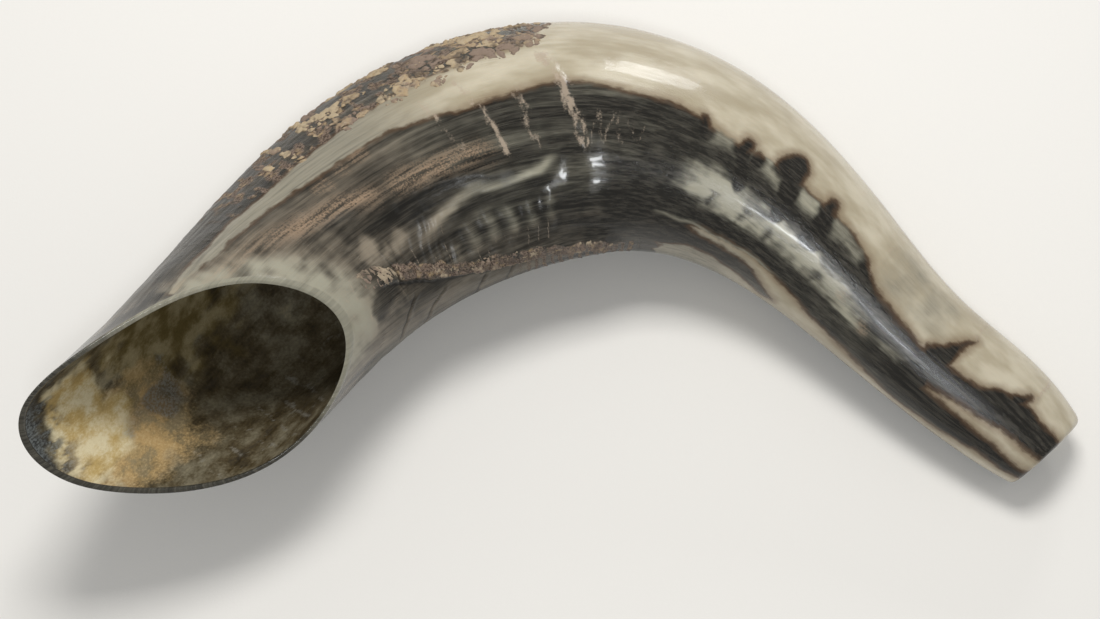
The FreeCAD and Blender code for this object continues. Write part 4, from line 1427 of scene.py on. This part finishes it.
def read_grid(grid, row, column):
    """Values of a wrapped grid between its rows and columns."""
    low_row = np.clip(np.floor(row).astype(int), 0, len(grid) - 2)
    part_row = (row - low_row)[..., None]
    low_column = np.floor(column).astype(int)
    part_column = (column - low_column)[..., None]
    low_column = low_column % grid.shape[1]
    next_column = (low_column + 1) % grid.shape[1]
    first = grid[low_row, low_column] * (1 - part_column) + grid[low_row, next_column] * part_column
    second = (grid[low_row + 1, low_column] * (1 - part_column)
              + grid[low_row + 1, next_column] * part_column)
    return first * (1 - part_row) + second * part_row


def chip_mesh():
    """One chip of bark, a low rough block a millimetre long."""
    rng = np.random.default_rng(5)
    points, faces = [], []
    rings = ((-0.5, 0.9), (0.15, 1.0), (0.5, 0.55))
    sides = 7
    for height, wide in rings:
        for number in range(sides):
            turn = math.tau * number / sides
            reach = wide * (0.8 + 0.4 * rng.random())
            points.append((reach * math.cos(turn) * 0.5, reach * math.sin(turn) * 0.9,
                           height * 0.55 * (0.85 + 0.3 * rng.random())))
    for ring in range(len(rings) - 1):
        for number in range(sides):
            a, b = ring * sides + number, ring * sides + (number + 1) % sides
            faces.append((a, b, b + sides, a + sides))
    faces.append(tuple(range(sides - 1, -1, -1)))
    faces.append(tuple(range((len(rings) - 1) * sides, len(rings) * sides)))
    mesh = bpy.data.meshes.new("chip")
    mesh.from_pydata([tuple(value * MM for value in point) for point in points], [], faces)
    for key, value in (("height", 0.7), ("tint", 0.5), ("gilt", 0.6)):
        spot = mesh.attributes.new(key, "FLOAT", "POINT")
        spot.data.foreach_set("value", np.full(len(points), value, np.float32))
    return mesh


def chips_tree():
    """Geometry nodes: scatter chips on a crust, turned to its surface, and join them to it."""
    tree = bpy.data.node_groups.new("bark_chips", "GeometryNodeTree")
    face = tree.interface
    face.new_socket("Geometry", in_out="INPUT", socket_type="NodeSocketGeometry")
    face.new_socket("Chip", in_out="INPUT", socket_type="NodeSocketObject")
    face.new_socket("Density", in_out="INPUT", socket_type="NodeSocketFloat")
    face.new_socket("Smallest", in_out="INPUT", socket_type="NodeSocketFloat")
    face.new_socket("Largest", in_out="INPUT", socket_type="NodeSocketFloat")
    face.new_socket("Seed", in_out="INPUT", socket_type="NodeSocketInt")
    face.new_socket("Material", in_out="INPUT", socket_type="NodeSocketMaterial")
    face.new_socket("Geometry", in_out="OUTPUT", socket_type="NodeSocketGeometry")
    nodes, link = tree.nodes, tree.links.new
    given = nodes.new("NodeGroupInput").outputs
    cover = nodes.new("GeometryNodeInputNamedAttribute")
    cover.data_type = "FLOAT"
    cover.inputs["Name"].default_value = "cover"
    product = nodes.new("ShaderNodeMath")
    product.operation = "MULTIPLY"
    link(cover.outputs["Attribute"], product.inputs[0])
    link(given["Density"], product.inputs[1])
    scatter = nodes.new("GeometryNodeDistributePointsOnFaces")
    scatter.distribute_method = "RANDOM"
    link(given["Geometry"], scatter.inputs["Mesh"])
    link(product.outputs[0], scatter.inputs["Density"])
    link(given["Seed"], scatter.inputs["Seed"])
    chip = nodes.new("GeometryNodeObjectInfo")
    link(given["Chip"], chip.inputs["Object"])
    spin = nodes.new("FunctionNodeRandomValue")
    spin.data_type = "FLOAT_VECTOR"
    spin.inputs["Min"].default_value = (-0.3, -0.3, 0.0)
    spin.inputs["Max"].default_value = (0.3, 0.3, math.tau)
    link(given["Seed"], spin.inputs["Seed"])
    turned = nodes.new("FunctionNodeRotateRotation")
    turned.rotation_space = "LOCAL"
    to_rotation = nodes.new("FunctionNodeEulerToRotation")
    link(spin.outputs["Value"], to_rotation.inputs["Euler"])
    link(scatter.outputs["Rotation"], turned.inputs["Rotation"])
    link(to_rotation.outputs["Rotation"], turned.inputs["Rotate By"])
    size = nodes.new("FunctionNodeRandomValue")
    size.data_type = "FLOAT"
    link(given["Smallest"], size.inputs[2])
    link(given["Largest"], size.inputs[3])
    link(given["Seed"], size.inputs["Seed"])
    put = nodes.new("GeometryNodeInstanceOnPoints")
    link(scatter.outputs["Points"], put.inputs["Points"])
    link(chip.outputs["Geometry"], put.inputs["Instance"])
    link(turned.outputs["Rotation"], put.inputs["Rotation"])
    link(size.outputs[1], put.inputs["Scale"])
    together = nodes.new("GeometryNodeJoinGeometry")
    link(put.outputs["Instances"], together.inputs["Geometry"])
    link(given["Geometry"], together.inputs["Geometry"])
    real = nodes.new("GeometryNodeRealizeInstances")
    link(together.outputs["Geometry"], real.inputs["Geometry"])
    dress = nodes.new("GeometryNodeSetMaterial")
    link(real.outputs["Geometry"], dress.inputs["Geometry"])
    link(given["Material"], dress.inputs["Material"])
    result = nodes.new("NodeGroupOutput")
    link(dress.outputs["Geometry"], result.inputs["Geometry"])
    return tree


def with_chips(mesh, density, smallest, largest, seed):
    """The mesh with chips scattered on it, as a plain mesh."""
    tree = bpy.data.node_groups.get("bark_chips") or chips_tree()
    chip = bpy.data.objects.new("chip", chip_mesh())
    holder = bpy.data.objects.new("crust", mesh)
    for thing in (chip, holder):
        bpy.context.scene.collection.objects.link(thing)
    modifier = holder.modifiers.new("chips", "NODES")
    modifier.node_group = tree
    values = {"Chip": chip, "Density": density, "Smallest": smallest, "Largest": largest,
              "Seed": seed, "Material": material_now("rough_bark")}
    for item in tree.interface.items_tree:
        if item.in_out == "INPUT" and item.name in values:
            modifier[item.identifier] = values[item.name]
    depsgraph = bpy.context.evaluated_depsgraph_get()
    made = bpy.data.meshes.new_from_object(holder.evaluated_get(depsgraph))
    holder.modifiers.clear()
    for thing in (chip, holder):
        bpy.data.objects.remove(thing)
    return made


# ---------------------------------------------------------------- operators


class SHOFAR_OT_mouthpiece(bpy.types.Operator):
    """Build the mouthpiece with its ground end face and cup"""
    bl_idname = "shofar.mouthpiece"
    bl_label = "Mouthpiece"

    def execute(self, context):
        build_stretch(0, *PIECES[0][::2], "ground_tip")
        return {"FINISHED"}


class SHOFAR_OT_neck(bpy.types.Operator):
    """Build the solid neck with its drilled bore"""
    bl_idname = "shofar.neck"
    bl_label = "Drilled Neck"

    def execute(self, context):
        build_stretch(1, *PIECES[1][::2], "ground_tip")
        return {"FINISHED"}


class SHOFAR_OT_segments(bpy.types.Operator):
    """Build the hollow growth segments and the throat"""
    bl_idname = "shofar.segments"
    bl_label = "Growth Segments"

    def execute(self, context):
        for number in range(2, len(PIECES)):
            build_stretch(number, *PIECES[number][::2], "polished_wall")
        return {"FINISHED"}


class SHOFAR_OT_bell(bpy.types.Operator):
    """Build the bell and its polished rim"""
    bl_idname = "shofar.bell"
    bl_label = "Bell"

    def execute(self, context):
        build_stretch(len(PIECES), "bell", "polished_horn", "polished_wall")
        build_stretch(len(PIECES) + 1, "bell_rim", "polished_horn", "polished_edge")
        return {"FINISHED"}


class SHOFAR_OT_bark(bpy.types.Operator):
    """Build the patches of outer bark that were left on the horn"""
    bl_idname = "shofar.bark"
    bl_label = "Outer Bark"

    def execute(self, context):
        tall = context.scene.shofar_sizes.bark_height / MM
        chips = {"bark_on_keel": (0.8 * tall, 30000.0, 0.25, 0.6, 3),
                 "bark_on_face": (0.20, 30000.0, 0.2, 0.4, 5),
                 "bark_on_back_ridge": (0.30 * tall, 30000.0, 0.2, 0.45, 7)}
        for name, *window in BARKS:
            height, *scatter = chips[name]
            mesh = with_chips(bark_mesh(name, *window, height), *scatter)
            add_piece(name + "_crust", mesh, "outer_bark", ("rough_bark",), name)
        return {"FINISHED"}


# The camera looks down along +Y at this height above the horizon.
CAMERA_TARGET = (-0.00596, -0.0185, 0.0294)
CAMERA_DISTANCE = 0.640
CAMERA_ELEVATION = 72.0
CAMERA_LENS = 69.8
# Each light's name, place, size, power, colour, and whether the polish mirrors it.  The overhead
# light isn't mirrored: its reflection would lie over the dark flank and turn it grey.
LIGHTS = (
    ("overhead_light", (-0.02, 0.36, 0.85), (0.34, 0.26), 5.6, (1.0, 0.985, 0.96), False),
    ("front_window", (0.0, -0.42, 0.93), (0.15, 0.10), 1.9, (0.95, 0.98, 1.0), True),
    ("back_window", (0.36, 0.95, 0.42), (0.26, 0.14), 1.3, (0.97, 0.985, 1.0), True),
)


def look_from(thing, place, target):
    """Put a light or camera at a place, turned to a target."""
    thing.location = place
    thing.rotation_euler = (Vector(target) - Vector(place)).to_track_quat("-Z", "Y").to_euler()


class SHOFAR_OT_stage(bpy.types.Operator):
    """Lay the floor and set the lights and the camera"""
    bl_idname = "shofar.stage"
    bl_label = "Stage"

    def execute(self, context):
        scene = context.scene
        half = 3.0
        mesh = bpy.data.meshes.new("floor")
        mesh.from_pydata([(-half, -half, 0), (half, -half, 0), (half, half, 0), (-half, half, 0)],
                         [], [(0, 1, 2, 3)])
        floor = bpy.data.objects.new("floor", mesh)
        floor.location.z = -0.0002
        mesh.materials.append(floor_material(scene.shofar_colours))
        scene.collection.objects.link(floor)
        scene.view_settings.view_transform = "Standard"
        for name, place, size, power, colour, mirrored in LIGHTS:
            data = bpy.data.lights.new(name, "AREA")
            data.shape = "RECTANGLE"
            data.size, data.size_y = size
            data.energy = power
            data.color = colour
            light = bpy.data.objects.new(name, data)
            scene.collection.objects.link(light)
            look_from(light, place, (0, 0, 0.03))
            light.visible_glossy = mirrored
        world = bpy.data.worlds.new("studio")
        world.use_nodes = True
        background = world.node_tree.nodes["Background"]
        background.inputs["Color"].default_value = (1, 0.99, 0.97, 1)
        background.inputs["Strength"].default_value = 0.36
        scene.world = world
        camera_data = bpy.data.cameras.new("camera")
        camera_data.lens = CAMERA_LENS
        camera_data.sensor_width = 36.0
        camera = bpy.data.objects.new("camera", camera_data)
        scene.collection.objects.link(camera)
        lift = math.radians(CAMERA_ELEVATION)
        back = Vector((0, -math.cos(lift), math.sin(lift)))
        look_from(camera, Vector(CAMERA_TARGET) + back * CAMERA_DISTANCE, CAMERA_TARGET)
        scene.camera = camera
        return {"FINISHED"}


class SHOFAR_PT_panel(bpy.types.Panel):
    """Builds the shofar piece by piece"""
    bl_label = "Shofar"
    bl_idname = "SHOFAR_PT_panel"
    bl_space_type = "VIEW_3D"
    bl_region_type = "UI"
    bl_category = "Shofar"

    def draw(self, context):
        layout = self.layout
        for operator in OPERATORS:
            layout.operator(operator.bl_idname)
        for group in (context.scene.shofar_sizes, context.scene.shofar_colours):
            for name in group.__annotations__:
                layout.prop(group, name)


OPERATORS = (SHOFAR_OT_stage, SHOFAR_OT_mouthpiece, SHOFAR_OT_neck, SHOFAR_OT_segments,
             SHOFAR_OT_bell, SHOFAR_OT_bark)
CLASSES = (ShofarSizes, ShofarColours, *OPERATORS, SHOFAR_PT_panel)


def register():
    for one in CLASSES:
        bpy.utils.register_class(one)
    bpy.types.Scene.shofar_sizes = bpy.props.PointerProperty(type=ShofarSizes)
    bpy.types.Scene.shofar_colours = bpy.props.PointerProperty(type=ShofarColours)


def unregister():
    del bpy.types.Scene.shofar_colours
    del bpy.types.Scene.shofar_sizes
    for one in reversed(CLASSES):
        bpy.utils.unregister_class(one)


def main():
    register()
    bpy.ops.shofar.stage()
    bpy.ops.shofar.mouthpiece()
    bpy.ops.shofar.neck()
    bpy.ops.shofar.segments()
    bpy.ops.shofar.bell()
    bpy.ops.shofar.bark()


if __name__ == "__main__":
    main()
